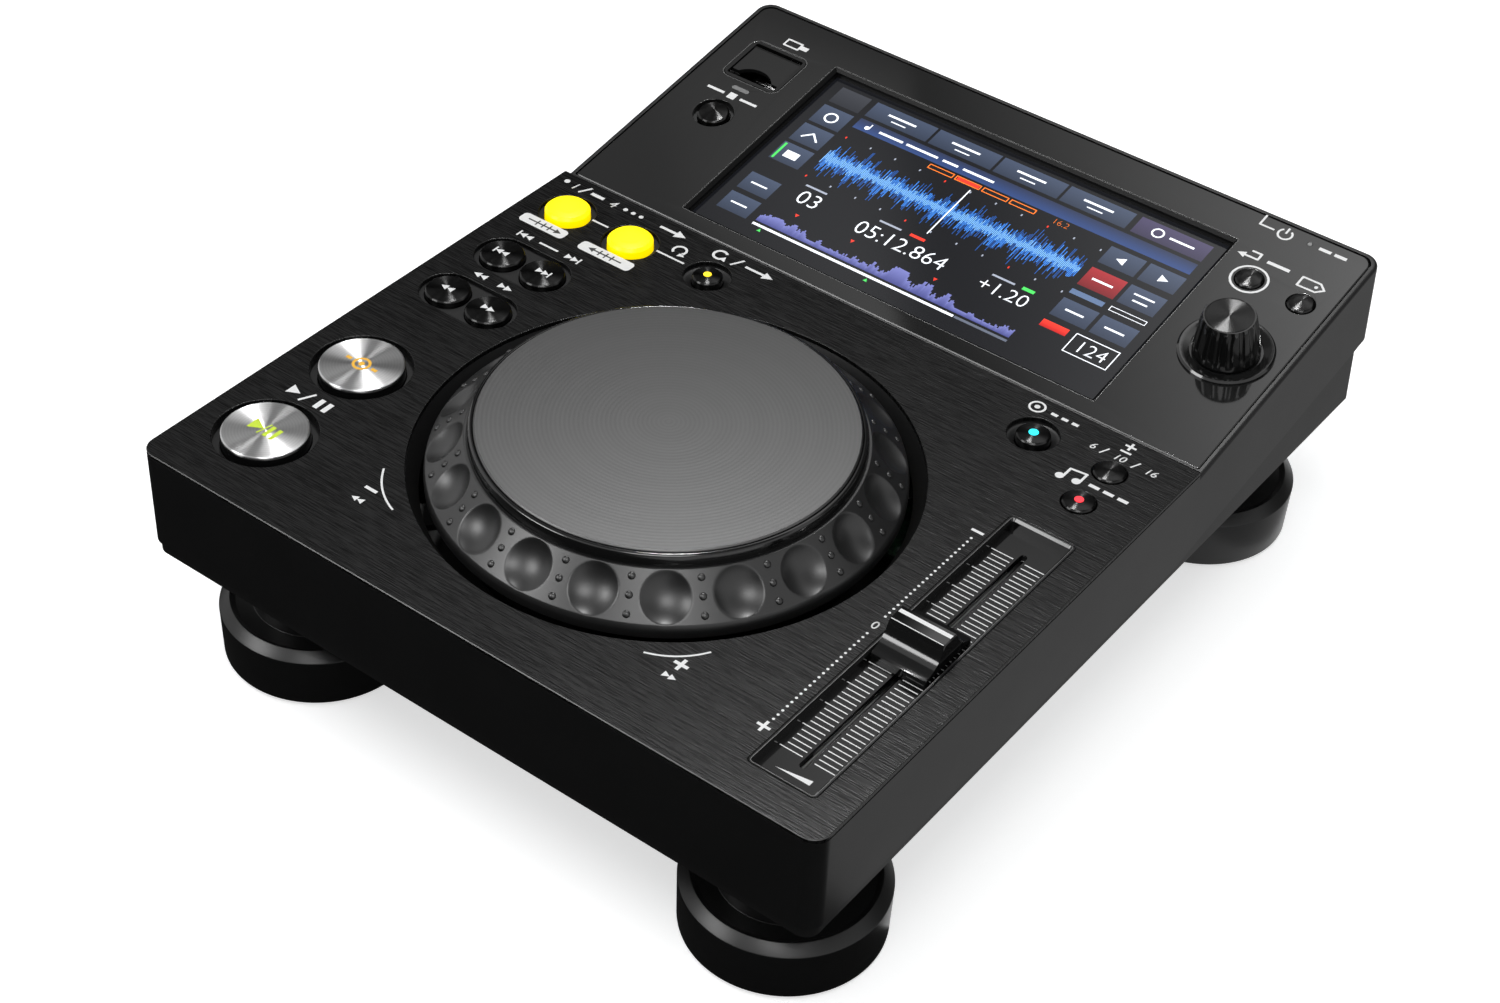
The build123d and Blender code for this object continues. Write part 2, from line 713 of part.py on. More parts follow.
# ================================================================ chassis
def make_bottom_chassis():
    low = -chassis_bottom
    rear_z = lower_edge(rear_low[0] - chassis_rear_inset)
    rear_y = rear_low[0] - chassis_rear_inset
    rear_foot_y = chassis_rear(low)
    outer = side_slab([(chassis_inset, -side_height), (side_kink, -side_height), (rear_y, rear_z),
                       (rear_foot_y, low), (chassis_inset, low)],
                      chassis_inset, case_width - chassis_inset)
    outer = fillet(outer.edges().filter_by(Axis.Z).group_by(Axis.Y)[0],
                   corner_radius - chassis_inset)
    wall = chassis_wall
    inner = side_slab([(chassis_inset + wall, 0), (rear_y - wall, 0),
                       (rear_y - wall, rear_z), (rear_foot_y - wall, low + wall),
                       (chassis_inset + wall, low + wall)],
                      chassis_inset + wall, case_width - chassis_inset - wall)
    tray = outer - inner
    # shelf that closes the case's overhang behind the rear wall
    back = rear_wall(rear_low[1], case_wall + shelf_gap)
    side = case_wall + shelf_gap
    shelf = side_slab([(rear_y - wall, lower_edge(rear_y - wall)), (back, lower_edge(back)),
                       (back, lower_edge(back) + shelf_thick),
                       (rear_y - wall, lower_edge(rear_y - wall) + shelf_thick)],
                      side, case_width - side)
    tray += shelf
    # bosses for the feet and the main board
    for x, y in foot_places():
        tray += deck_at(x, y, low + bite) * Cylinder(foot_boss_radius, foot_boss_height,
                                                     align=BOTTOM)
        tray -= deck_at(x, y, low) * Cylinder(foot_screw_pilot, foot_pilot_depth, align=BOTTOM)
    for x, y in main_board_places():
        tray += deck_at(x, y, low + wall - bite) * Cylinder(
            main_board_post_radius, main_board_stand + bite, align=BOTTOM)
        tray -= deck_at(x, y, low + wall) * Cylinder(board_screw_pilot, main_board_stand + past,
                                                     align=BOTTOM)
    for x in jack_post_x():
        y = chassis_rear(low + wall) - 2 * wall - jack_board_depth / 2
        tray += deck_at(x, y, low + wall - bite) * Cylinder(
            jack_post_radius, jack_board_stand + bite, align=BOTTOM)
    for x, y in case_screw_places():
        tray -= deck_at(x, y, low) * Cylinder(screw_pilot + case_screw_clearance, wall, align=BOTTOM)
        tray -= deck_at(x, y, low) * Cylinder(case_screw_head + case_screw_clearance,
                                              case_screw_sink, align=BOTTOM)
    # rear openings, level through the leaning wall
    for place, tool in rear_openings():
        tray -= place * tool
    # ventilation slots in the floor
    for i in range(vent_count):
        tray -= deck_at(case_width / 2, vent_front_y + vent_pitch * i, low) * slot(
            vent_length, vent_width, wall)
    return tray


def chassis_rear(z):
    """Depth of the chassis' rear wall, outside, at height z."""
    top_y = rear_low[0] - chassis_rear_inset
    return top_y + (lower_edge(top_y) - z) * rear_lean


def rear_frame(x):
    """Place on the chassis' rear wall at the sockets' row: local +Z to the rear, +Y down."""
    z = socket_row - chassis_bottom
    return deck_at(x, chassis_rear(z), z) * Rot(-90, 0, 0)


def rear_openings():
    t = chassis_wall
    cuts = []
    for x in rca_x:
        cuts.append((rear_frame(x), Cylinder(rca_collar_radius + part_gap, 4 * t)))
    cuts.append((rear_frame(dc_x), Cylinder(dc_radius + part_gap, 4 * t)))
    for x, width, height in ((lan_x, lan_width, lan_height), (usb_b_x, usb_b_width, usb_b_height),
                             (power_x, power_width, power_height)):
        cuts.append((rear_frame(x), Box(width + 2 * part_gap, height + 2 * part_gap, 4 * t)))
    cuts.append((rear_frame(lock_x), Box(lock_width, lock_height, 4 * t)))
    return cuts


def foot_places():
    xs = (foot_inset_x, case_width - foot_inset_x)
    ys = (foot_front_y, case_depth - foot_rear_inset)
    return [(x, y) for y in ys for x in xs]


def case_screw_places():
    inset = chassis_inset + chassis_wall + part_gap + case_boss_radius
    ys = (case_screw_side_y, deck_depth + case_screw_mid_gap, case_depth - case_screw_rear_inset)
    sides = [(x, y) for y in ys for x in (inset, case_width - inset)]
    return sides + [(case_width / 2, case_screw_front_y)]


def jack_post_x():
    left, right = jack_board_ends
    return (left + 2 * jack_post_radius, (left + right) / 2, right - 2 * jack_post_radius)


def main_board_places():
    dx = main_board_width / 2 - main_board_hole_inset
    dy = main_board_length / 2 - main_board_hole_inset
    return [(main_board_x + sx * dx, main_board_y + sy * dy) for sx in (-1, 1) for sy in (-1, 1)]


def make_foot(x, y):
    top = deck_height - chassis_bottom
    groove = foot_ring_top - foot_ring_sink
    bore, well = foot_screw_radius + foot_screw_gap, foot_screw_head + foot_head_gap
    outline = [(foot_pad_radius, foot_pad_stand), (foot_radius - foot_edge, foot_pad_stand),
               (foot_radius, foot_pad_stand + foot_edge),
               (foot_top_radius, foot_band), (foot_ring_radius, foot_ring_top),
               (foot_ring_radius - foot_ring_lip, groove), (foot_neck_radius, groove),
               (foot_neck_radius, top), (bore, top), (bore, top - foot_wall),
               (well, top - foot_wall), (well, foot_well_top),
               (foot_pad_inner - foot_wall, foot_well_mouth),
               (foot_pad_inner - foot_wall, foot_pad_stand),
               (foot_pad_inner, foot_pad_stand), (foot_pad_inner, foot_pad_thick),
               (foot_pad_radius, foot_pad_thick)]
    return deck_at(x, y, -deck_height) * turned(outline)


def make_foot_pads():
    pad = ring(foot_pad_radius - seat_gap, foot_pad_inner + seat_gap, foot_pad_thick)
    return Compound([deck_at(x, y, -deck_height) * pad for x, y in foot_places()])


def make_foot_screws():
    head_low = -chassis_bottom - foot_wall - foot_screw_head_height
    screw = Cylinder(foot_screw_head, foot_screw_head_height, align=BOTTOM)
    screw += Cylinder(foot_screw_pilot,
                      foot_screw_head_height + foot_wall + foot_pilot_depth - past, align=BOTTOM)
    screw -= cross_recess(foot_screw_head, foot_screw_recess)
    return Compound([deck_at(x, y, head_low) * screw for x, y in foot_places()])


def make_case_screws():
    low = -chassis_bottom
    screw = Cylinder(case_screw_head, case_screw_sink, align=BOTTOM)
    screw += Cylinder(screw_pilot, case_screw_sink + case_screw_length, align=BOTTOM)
    screw -= cross_recess(case_screw_head, case_screw_sink / 2)
    return Compound([deck_at(x, y, low) * screw for x, y in case_screw_places()])


# ================================================================ jog wheel
def make_jog_dial():
    run = dial_cone_low_radius - dial_cone_high_radius
    rise = dial_cone_high - dial_cone_low
    length = (run ** 2 + rise ** 2) ** 0.5
    nr, nz = rise / length, run / length
    inner_low = (dial_cone_low_radius - nr * dial_shell - dial_skirt_step, dial_bottom)
    web_low = dial_cone_high - nz * dial_shell - dial_web_thick
    inner_high_r = dial_cone_high_radius - nr * dial_shell
    seat = platter_top - platter_thick - platter_press - platter_seat_gap
    land = rim_outer_radius - dial_top_land
    ledge = rim_outer_radius - dial_ledge_reach
    bore = platter_pin_radius + running_gap
    over_bearing = bearing_top() + bearing_top_gap
    body = turned([
        (dial_radius, dial_bottom), (dial_radius, dial_flange_top),
        (dial_cone_low_radius, dial_cone_low), (dial_cone_high_radius, dial_cone_high),
        (land, dial_cone_high), (land, seat - dial_ledge_drop),
        (ledge, seat - dial_ledge_drop), (ledge, seat), (ledge - dial_ledge_width, seat),
        (ledge - dial_ledge_width, web_low + dial_web_thick),
        (dial_hub_radius, web_low + dial_web_thick), (dial_hub_radius, seat - dial_hub_drop),
        (bore, seat - dial_hub_drop), (bore, over_bearing),
        (post_radius + past, over_bearing), (post_radius + past, bearing_top()),
        (bearing_radius, bearing_top()), (bearing_radius, dial_hub_bottom),
        (dial_hub_radius, dial_hub_bottom), (dial_hub_radius, web_low),
        (inner_high_r, web_low), inner_low])
    # finger dimples round the cone
    mid_r = (dial_cone_low_radius + dial_cone_high_radius) / 2
    mid_z = (dial_cone_low + dial_cone_high) / 2
    ball_r = (dimple_radius ** 2 + dimple_depth ** 2) / (2 * dimple_depth)
    reach = ball_r - dimple_depth
    ball = Pos(mid_r + nr * reach, 0, mid_z + nz * reach) * Sphere(ball_r)
    for i in range(dimple_count):
        body -= Rot(0, 0, dimple_phase + 360 / dimple_count * i) * ball
    # three small pips between neighbouring dimples
    pips = []
    for i in range(dimple_count):
        turn = dimple_phase + 360 / dimple_count * (i + 0.5)
        for share in pip_rows:
            r = dial_cone_low_radius + (dial_cone_high_radius - dial_cone_low_radius) * share
            z = dial_cone_low + (dial_cone_high - dial_cone_low) * share
            tilt = 90 - Vector(nr, 0, nz).get_angle(Vector(1, 0, 0))
            pips.append(Rot(0, 0, turn) * Pos(r, 0, z) * Rot(0, tilt, 0) * Pos(0, 0, -bite)
                        * Cone(pip_radius, pip_radius * pip_taper, pip_height + bite, align=BOTTOM))
    body += pips
    return deck_at(jog_x, jog_y) * body


def bearing_top():
    return dial_hub_bottom + bearing_height


def make_jog_rim():
    inner, bore = rim_outer_radius - rim_seat_width, platter_radius + rim_bore_gap
    rim = turned([(inner, dial_cone_high), (rim_outer_radius + rim_skirt, dial_cone_high),
                  (rim_outer_radius, rim_height), (rim_outer_radius - rim_lip,
                                                   rim_top - rim_crest_drop),
                  (rim_outer_radius - rim_crest, rim_top), (bore, rim_top),
                  (bore, rim_height - rim_floor_drop), (inner, rim_height - rim_under_drop)])
    return deck_at(jog_x, jog_y) * rim


def make_jog_platter():
    low = platter_top - platter_thick
    plate = turned([(0, low), (platter_radius, low), (platter_radius, platter_top - platter_edge),
                    (platter_radius - platter_edge, platter_top), (0, platter_top)])
    plate += Pos(0, 0, low - platter_pin_length) * Cylinder(
        platter_pin_radius, platter_pin_length + bite, align=BOTTOM)
    return deck_at(jog_x, jog_y) * plate


def make_jog_bearing():
    race = ring(bearing_radius, post_radius + running_gap, bearing_height)
    middle = (bearing_radius + post_radius) / 2
    race -= ring(middle + bearing_groove_width / 2, middle - bearing_groove_width / 2,
                 bearing_groove_depth)
    return deck_at(jog_x, jog_y, dial_hub_bottom) * race


def make_jog_encoder_disc():
    disc = ring(encoder_radius, bearing_radius + part_gap, encoder_thick)
    reach = encoder_radius - encoder_slot_inset - encoder_slot_length / 2
    slots = []
    for i in range(encoder_slots):
        slots.append(Rot(0, 0, 360 / encoder_slots * i) * Pos(reach, 0, 0)
                     * Box(encoder_slot_length, encoder_slot_width, 3 * encoder_thick))
    disc -= slots
    return deck_at(jog_x, jog_y, dial_hub_bottom - encoder_thick) * disc


def make_jog_base():
    low = base_plate_top - base_plate_thick
    plate = Pos(0, 0, low) * Cylinder(base_plate_radius, base_plate_thick, align=BOTTOM)
    for a in (45, 135, 225, 315):
        arm = Pos(base_leg_reach / 2, 0, low) * Box(base_leg_reach, 2.4 * base_leg_radius,
                                                    base_plate_thick, align=BOTTOM)
        leg = Pos(base_leg_reach, 0, low) * Cylinder(base_leg_radius, -deck_under - low,
                                                     align=BOTTOM)
        plate += Rot(0, 0, a) * (arm + leg)
    plate += Pos(0, 0, base_plate_top - bite) * Cylinder(
        base_hub_radius, base_hub_height + bite, align=BOTTOM)
    plate += Pos(0, 0, base_plate_top) * Cylinder(post_radius, post_top - base_plate_top,
                                                  align=BOTTOM)
    for i in range(3):
        plate -= Rot(0, 0, 120 * i) * Pos(base_window_reach, 0, low - past) * Cylinder(
            base_window_radius, base_plate_thick + 2 * past, align=BOTTOM)
    return deck_at(jog_x, jog_y) * plate


def make_jog_sensor():
    disc_low = dial_hub_bottom - encoder_thick
    gap_low = disc_low - (sensor_gap - encoder_thick) / 2
    gap_high = gap_low + sensor_gap
    top = gap_high + sensor_lid
    height = top - base_plate_top
    # open towards the disc's middle, with the disc's edge in the gap
    block = Pos(0, 0, base_plate_top) * Box(sensor_length, sensor_width, height, align=BOTTOM)
    block -= Pos(-sensor_web, 0, gap_low) * Box(sensor_length - sensor_web, sensor_width + past,
                                                sensor_gap, align=BOTTOM)
    fork = Pos(encoder_radius - past, 0, 0) * block
    return deck_at(jog_x, jog_y) * Rot(0, 0, sensor_turn) * fork


# ================================================================ tempo fader
def make_fader_bezel():
    low = -fader_recess - fader_bezel_floor
    outer_w = fader_opening_width - 2 * fader_side_gap
    outer_l = fader_opening_length - 2 * fader_side_gap
    body = Pos(0, 0, low) * slab(outer_w, outer_l, -low - fader_bezel_drop,
                                 fader_corner - fader_side_gap)
    inner_w = outer_w - 2 * fader_bezel_wall
    inner_l = outer_l - 2 * fader_bezel_wall
    body -= Pos(0, 0, -fader_recess) * slab(inner_w, inner_l, fader_recess, fader_bezel_corner)
    lip = body.faces().sort_by(Axis.Z)[-1].inner_wires()[0].edges()
    body = chamfer(lip, fader_bezel_wall * 0.55)
    # ears that screw up under the case's wall, clear of the slot
    ear = Box(outer_w + 2 * fader_ear_reach, fader_ear_length, fader_ear_thick, align=BOTTOM)
    for side in (-1, 1):
        body += Pos(0, side * (outer_l / 2 - fader_ear_inset), -deck_under - fader_ear_thick) * ear
    body -= Pos(0, 0, low - past) * slot(fader_slot_length(), fader_slot_width,
                                         fader_bezel_floor + 2 * past, 90)
    return deck_at(fader_x, fader_y) * body


def fader_slot_length():
    return fader_travel + fader_tang_width + fader_slot_width


def fader_frame_top():
    return -fader_recess - fader_bezel_floor - fader_frame_gap


def make_fader_frame():
    top = fader_frame_top()
    length = fader_slot_length() + 2 * fader_frame_end
    can = Box(fader_frame_width, length, fader_frame_height, align=TOP)
    t = fader_frame_wall
    can -= Pos(0, 0, -t) * Box(fader_frame_width - 2 * t, length - 4 * t,
                               fader_frame_height - 2 * t, align=TOP)
    can -= Box(fader_slot_width + past, fader_slot_length() + past, 3 * t)
    for side in (-1, 1):
        can += Pos(0, side * (length - fader_tab_length) / 2, 0) * Box(
            fader_tab_width, fader_tab_length, fader_frame_gap, align=BOTTOM)
    return deck_at(fader_x, fader_y, top) * can


def fader_rod_z():
    return fader_frame_top() - fader_frame_wall - fader_rod_drop


def make_fader_rods():
    length = fader_slot_length() + 2 * fader_frame_end - 4 * fader_frame_wall
    rods = [deck_at(fader_x + side * fader_rod_spacing / 2, fader_y, fader_rod_z())
            * Rot(90, 0, 0) * Cylinder(fader_rod_radius, length) for side in (-1, 1)]
    return rods


def make_fader_carriage():
    z = fader_rod_z()
    block = Box(fader_frame_width - 2 * fader_frame_wall - 2 * part_gap, fader_carriage_length,
                fader_carriage_height)
    for side in (-1, 1):
        block -= Pos(side * fader_rod_spacing / 2, 0, 0) * Rot(90, 0, 0) * Cylinder(
            fader_rod_radius + running_gap, 2 * fader_carriage_length)
    block += Pos(0, 0, bite) * Box(fader_tang_thick, fader_tang_width,
                                   fader_tang_top - z - bite, align=BOTTOM)
    return deck_at(fader_x, fader_y + fader_rest, z) * block


def make_fader_cap():
    half = fader_cap_length / 2
    ridge = fader_cap_ridge / 2
    high = fader_cap_height
    lip = fader_cap_lip
    skirt = -fader_cap_skirt
    shoulder, edge = high - fader_ridge_drop, ridge - fader_ridge_edge
    sag_y = (ridge + half) / 2 - fader_saddle_shift
    sag_z = (high + lip) / 2 - fader_saddle_sag
    front = ThreePointArc((-half, lip), (-sag_y, sag_z), (-ridge, shoulder))
    back = ThreePointArc((ridge, shoulder), (sag_y, sag_z), (half, lip))
    crown = Polyline((-ridge, shoulder), (-edge, high), (edge, high), (ridge, shoulder))
    base = Polyline((half, lip), (half, skirt), (-half, skirt), (-half, lip))
    face = make_face(Curve() + [front, crown, back, base])
    side = Plane(origin=(-fader_cap_width / 2, 0, 0), x_dir=(0, 1, 0), z_dir=(1, 0, 0)) * face
    cap = extrude(side, amount=fader_cap_width, dir=(1, 0, 0))
    cap -= Pos(0, 0, skirt) * Box(fader_cap_width - 2 * fader_cap_wall,
                                  fader_cap_length - 2 * fader_cap_wall, fader_cap_hollow,
                                  align=BOTTOM)
    cap -= Pos(0, 0, skirt) * Box(fader_tang_thick + seat_gap, fader_tang_width + seat_gap,
                                  fader_tang_top - skirt, align=BOTTOM)
    return deck_at(fader_x, fader_y + fader_rest) * cap


# ================================================================ buttons
def make_button(radius, top, travel, wall_under):
    """Round cap with a retaining flange under the wall and a stem over its switch."""
    deep = collar_depth if radius > wide_button_radius else wall_under
    flange_top = -deep - part_gap
    flange_low = flange_top - flange_thick
    stem_low = -board_depth + switch_height + travel + part_gap
    dome = wide_cap_dome if radius > wide_button_radius else cap_dome
    return turned([(0, stem_low), (stem_radius, stem_low), (stem_radius, flange_low),
                   (radius + flange_margin, flange_low), (radius + flange_margin, flange_top),
                   (radius, flange_top), (radius, top - cap_edge - dome),
                   (radius - cap_edge, top - dome), (radius * cap_dome_share, top - dome / 3),
                   (0, top)])


def switch():
    can_height = switch_height - plunger_height
    can = Box(switch_size, switch_size, can_height, align=BOTTOM)
    return can + Pos(0, 0, can_height - plunger_bite) * Cylinder(
        plunger_radius, plunger_height + plunger_bite, align=BOTTOM)


def make_board(places, outline, holes, placer):
    """Circuit board with one tact switch under each button."""
    board = Pos(0, 0, -board_depth - board_thick) * extrude(outline, board_thick)
    for x, y in holes:
        board -= Pos(x, y, -board_depth - board_thick) * Cylinder(
            board_screw_radius + board_hole_gap, board_thick, align=BOTTOM)
    for x, y in places:
        board += Pos(x, y, -board_depth) * switch()
    return placer * board


def outline_of(rects):
    shape = None
    for x0, x1, y0, y1 in rects:
        piece = Pos((x0 + x1) / 2, (y0 + y1) / 2) * Rectangle(x1 - x0, y1 - y0)
        shape = piece if shape is None else shape + piece
    return shape


def make_key_board_left():
    names = ["play_button", "cue_button", "loop_in_button", "loop_out_button", "reloop_button",
             "track_back_button", "track_next_button", "search_back_button",
             "search_next_button"]
    places = [key_place(n) for n in names]
    rear = deck_depth - board_edge + 1.5
    loop_x, loop_y = key_place("loop_out_button")
    reloop_x = key_place("reloop_button")[0]
    outline = outline_of([(board_edge, loop_x + 8, key_place("play_button")[1] - 14, rear),
                          (board_edge, reloop_x + 10, loop_y - 8.5, rear)])
    for x, y in case_screw_places():
        outline -= Pos(x, y) * Circle(case_boss_radius + 2 * part_gap)
    return make_board(places, outline, board_boss_places("deck")[:5], deck_at(0, 0))


def make_key_board_right():
    names = ["vinyl_mode_button", "tempo_range_button", "master_tempo_button"]
    places = [key_place(n) for n in names]
    rear, right = deck_depth - board_edge + 1.5, case_width - board_edge
    vinyl_x, range_y = key_place("vinyl_mode_button")[0], key_place("tempo_range_button")[1]
    outline = outline_of([(vinyl_x - 15, right, range_y - 11, rear),
                          (vinyl_x + 5, right, range_y - 26, rear)])
    return make_board(places, outline, board_boss_places("deck")[5:], deck_at(0, 0))


def make_panel_boards():
    stop_v = key_place("usb_stop_button")[1]
    left = outline_of([(board_edge + 2, screen_u - 7, stop_v - 16, stop_v + 16)])
    right = outline_of([(screen_u + screen_width + 6, case_width - board_edge - 1,
                         knob_v - 23, knob_v + 43)])
    left_places = [key_place("usb_stop_button")]
    right_places = [key_place(n) for n in ("back_button", "tag_button")]
    bosses = board_boss_places("panel")
    return Compound([make_board(left_places, left, bosses[:2], panel_frame),
                     make_board(right_places, right, bosses[2:], panel_frame)])


# ================================================================ menu knob
def make_rotary_collar():
    r, inner, h = knob_collar_radius, knob_collar_inner, knob_collar_height
    lip = knob_collar_lip
    return panel_at(knob_u, knob_v) * turned([
        (inner, 0), (r, 0), (r, h * knob_collar_shoulder), (r - lip, h), (r - 2 * lip, h),
        (inner, h * knob_collar_inner_rise)])


def make_rotary_knob():
    low = knob_press + part_gap
    skirt = knob_base_radius - knob_skirt
    body = turned([(0, low + knob_skirt_rise), (skirt, low + knob_skirt_rise), (skirt, low),
                   (knob_base_radius, low), (knob_base_radius, low + past),
                   (knob_crown_radius, knob_crown), (knob_top_radius, knob_top - knob_top_edge),
                   (knob_top_radius - knob_top_edge, knob_top), (0, knob_top)])
    flutes = []
    lean = Vector(knob_crown_radius - knob_base_radius, 0, knob_crown - low).get_angle(
        Vector(0, 0, 1))
    for i in range(knob_flutes):
        foot = Pos(knob_base_radius + knob_flute_sink, 0, low + knob_flute_base)
        flutes.append(Rot(0, 0, 360 / knob_flutes * i) * foot * Rot(0, -lean, 0)
                      * Cylinder(knob_flute_radius, 2 * knob_crown, align=BOTTOM))
    body -= flutes
    body -= Cylinder(knob_shaft_radius, knob_top - knob_bore_roof, align=BOTTOM)
    return panel_at(knob_u, knob_v) * body


def make_rotary_shaft():
    low = -board_depth + encoder_height - encoder_shaft_root
    return panel_at(knob_u, knob_v, low) * Cylinder(
        knob_shaft_radius, knob_top - knob_bore_roof - low, align=BOTTOM)


def make_rotary_plunger():
    low = -board_depth + knob_press + part_gap
    top = -board_depth + encoder_height - encoder_shaft_root
    return panel_at(knob_u, knob_v, low) * Cylinder(
        knob_shaft_radius - encoder_plunger_gap, top - low, align=BOTTOM)


def make_rotary_encoder():
    body = Box(encoder_body, encoder_body, encoder_height, align=BOTTOM)
    body += Pos(0, 0, encoder_height) * Cylinder(encoder_bush_radius, board_depth - encoder_height
                                                 - panel_plate_thick, align=BOTTOM)
    body -= Cylinder(knob_shaft_radius + running_gap, 3 * board_depth, align=BOTTOM)
    return panel_at(knob_u, knob_v, -board_depth) * body


# ================================================================ USB bay
def make_usb_bay():
    gap = 2 * running_gap
    cup = Pos(0, 0, -bay_depth - bay_floor) * slab(bay_width - 2 * gap, bay_length - 2 * gap,
                                                   bay_depth + bay_floor, bay_corner - gap)
    cup -= Pos(0, 0, -bay_depth) * slab(bay_width - 2 * bay_wall, bay_length - 2 * bay_wall,
                                        bay_depth + past, bay_inner_corner)
    cup -= Pos(0, 0, -bay_depth - bay_floor - past) * Box(
        usb_mouth_width, usb_mouth_height, bay_floor + 2 * past, align=BOTTOM)
    cup -= Pos(0, flap_axis_v() - bay_v, flap_axis_w()) * Rot(0, 90, 0) * Cylinder(
        flap_pin_radius + running_gap, bay_width - 2 * bay_pin_cover)
    return panel_at(bay_u, bay_v) * cup


def flap_axis_v():
    return bay_v + bay_length / 2 - bay_wall - 2 * part_gap - flap_pin_radius


def flap_axis_w():
    return -flap_sink - flap_thick / 2


def make_usb_flap():
    width = bay_width - 2 * bay_wall - 2 * part_gap
    rear = flap_axis_v()
    length = rear - flap_front
    leaf = Pos(0, flap_front + length / 2 - bay_v, -flap_sink - flap_thick) * Box(
        width, length, flap_thick, align=BOTTOM)
    notch = Pos(0, flap_front - flap_notch_radius + flap_notch_rise - bay_v, 0)
    leaf -= notch * Cylinder(flap_notch_radius, 6 * flap_thick)
    axis = Pos(0, rear - bay_v, flap_axis_w()) * Rot(0, 90, 0)
    leaf += axis * Cylinder(flap_thick / 2, width)
    leaf += axis * Cylinder(flap_pin_radius, width + 2 * part_gap + 2 * flap_pin_length)
    return panel_at(bay_u, bay_v) * leaf


def make_usb_socket():
    width, height = usb_mouth_width - 2 * running_gap, usb_mouth_height - 2 * running_gap
    shell = Box(width, height, usb_depth, align=TOP)
    shell -= Box(width - 2 * usb_shell, height - 2 * usb_shell, usb_depth - usb_back, align=TOP)
    tongue_v = height / 2 - usb_shell - usb_tongue_gap - usb_tongue / 2
    shell += Pos(0, tongue_v, -usb_tongue_sink) * Box(
        width - 2 * (usb_shell + 2 * usb_tongue_gap), usb_tongue, usb_depth - usb_back, align=TOP)
    shell += Pos(0, 0, -usb_depth) * Box(usb_board_width, usb_board_length, board_thick, align=TOP)
    return panel_at(bay_u, bay_v, -bay_depth - bay_floor / 2) * shell


def make_indicator_lenses():
    gap, root = 2 * running_gap, lens_depth - panel_under
    bar = slot(led_width - gap, led_height - gap, lens_depth)
    bar += slot(led_width + 2 * lens_flange, led_height + 2 * lens_flange, root)
    dot = Cylinder(standby_radius - running_gap, lens_depth, align=BOTTOM)
    dot += Cylinder(standby_radius + lens_flange, root, align=BOTTOM)
    return Compound([panel_at(led_u, led_v, -lens_depth) * bar,
                     panel_at(standby_u, standby_v, -lens_depth) * dot])


# ================================================================ rear sockets
def make_rca_sockets():
    mid = (rca_x[0] + rca_x[1]) / 2
    wide = rca_x[1] - rca_x[0] + 2 * rca_block_margin
    seat = -chassis_wall - rca_block_height / 2 * rear_lean - board_seat_gap
    block = Pos(0, 0, seat) * Box(wide, rca_block_height, rca_block_depth, align=TOP)
    for x in rca_x:
        block += Pos(x - mid, 0, seat - bite) * Cylinder(rca_collar_radius, bite - seat,
                                                         align=BOTTOM)
        block += Pos(x - mid, 0, -bite) * Cylinder(rca_radius, rca_reach + bite, align=BOTTOM)
        block -= Pos(x - mid, 0, -bite) * Cylinder(rca_pin_bore, rca_reach + past, align=BOTTOM)
    return rear_frame(mid) * block


def make_lan_socket():
    deep = lan_depth - lan_back
    body = Box(lan_width, lan_height, lan_depth, align=TOP)
    body -= Pos(0, -lan_port_rise, 0) * Box(lan_width - 2 * lan_side_wall, lan_port_height, deep,
                                            align=TOP)
    body -= Pos(0, -lan_key_rise, 0) * Box(lan_key_width, lan_key_height, deep, align=TOP)
    return rear_frame(lan_x) * Pos(0, 0, socket_proud) * body


def make_usb_b_socket():
    body = Box(usb_b_width, usb_b_height, usb_b_depth, align=TOP)
    body -= Box(usb_b_width - 2 * usb_b_wall, usb_b_height - 2 * usb_b_wall,
                usb_b_depth - usb_b_back, align=TOP)
    body += Pos(0, 0, -usb_b_tongue_sink) * Box(usb_b_tongue_width, usb_b_tongue_height,
                                                usb_b_depth - usb_b_back, align=TOP)
    return rear_frame(usb_b_x) * Pos(0, 0, socket_proud) * body


def make_dc_inlet():
    body = Cylinder(dc_radius, dc_depth, align=TOP)
    body -= Cylinder(dc_bore, dc_depth - dc_back, align=TOP)
    body += Pos(0, 0, -dc_pin_sink) * Cylinder(dc_pin_radius, dc_depth - dc_back, align=TOP)
    return rear_frame(dc_x) * Pos(0, 0, socket_proud) * body


def make_power_button():
    cap = Pos(0, 0, power_reach) * Box(power_width, power_height, power_reach + power_root,
                                       align=TOP)
    cap += Pos(0, 0, -chassis_wall - 2 * part_gap) * Box(
        power_width + 2 * power_lip, power_height + 2 * power_lip, power_lip, align=TOP)
    return rear_frame(power_x) * cap


def make_jack_board():
    """Board behind the rear wall, under the sockets, with the power switch on it."""
    drop = socket_row - chassis_wall - jack_board_stand - jack_board_thick
    mid = (jack_board_ends[0] + jack_board_ends[1]) / 2
    board = Pos(0, drop + jack_board_thick / 2, -chassis_wall - 2 * part_gap) * Box(
        jack_board_ends[1] - jack_board_ends[0], jack_board_thick, jack_board_depth, align=TOP)
    stop = -power_root - power_press - part_gap
    half = power_height / 2
    switch_body = Pos(power_x - mid, (drop - half) / 2, stop) * Box(
        power_width, drop + half, power_switch_depth, align=TOP)
    return rear_frame(mid) * (board + switch_body)


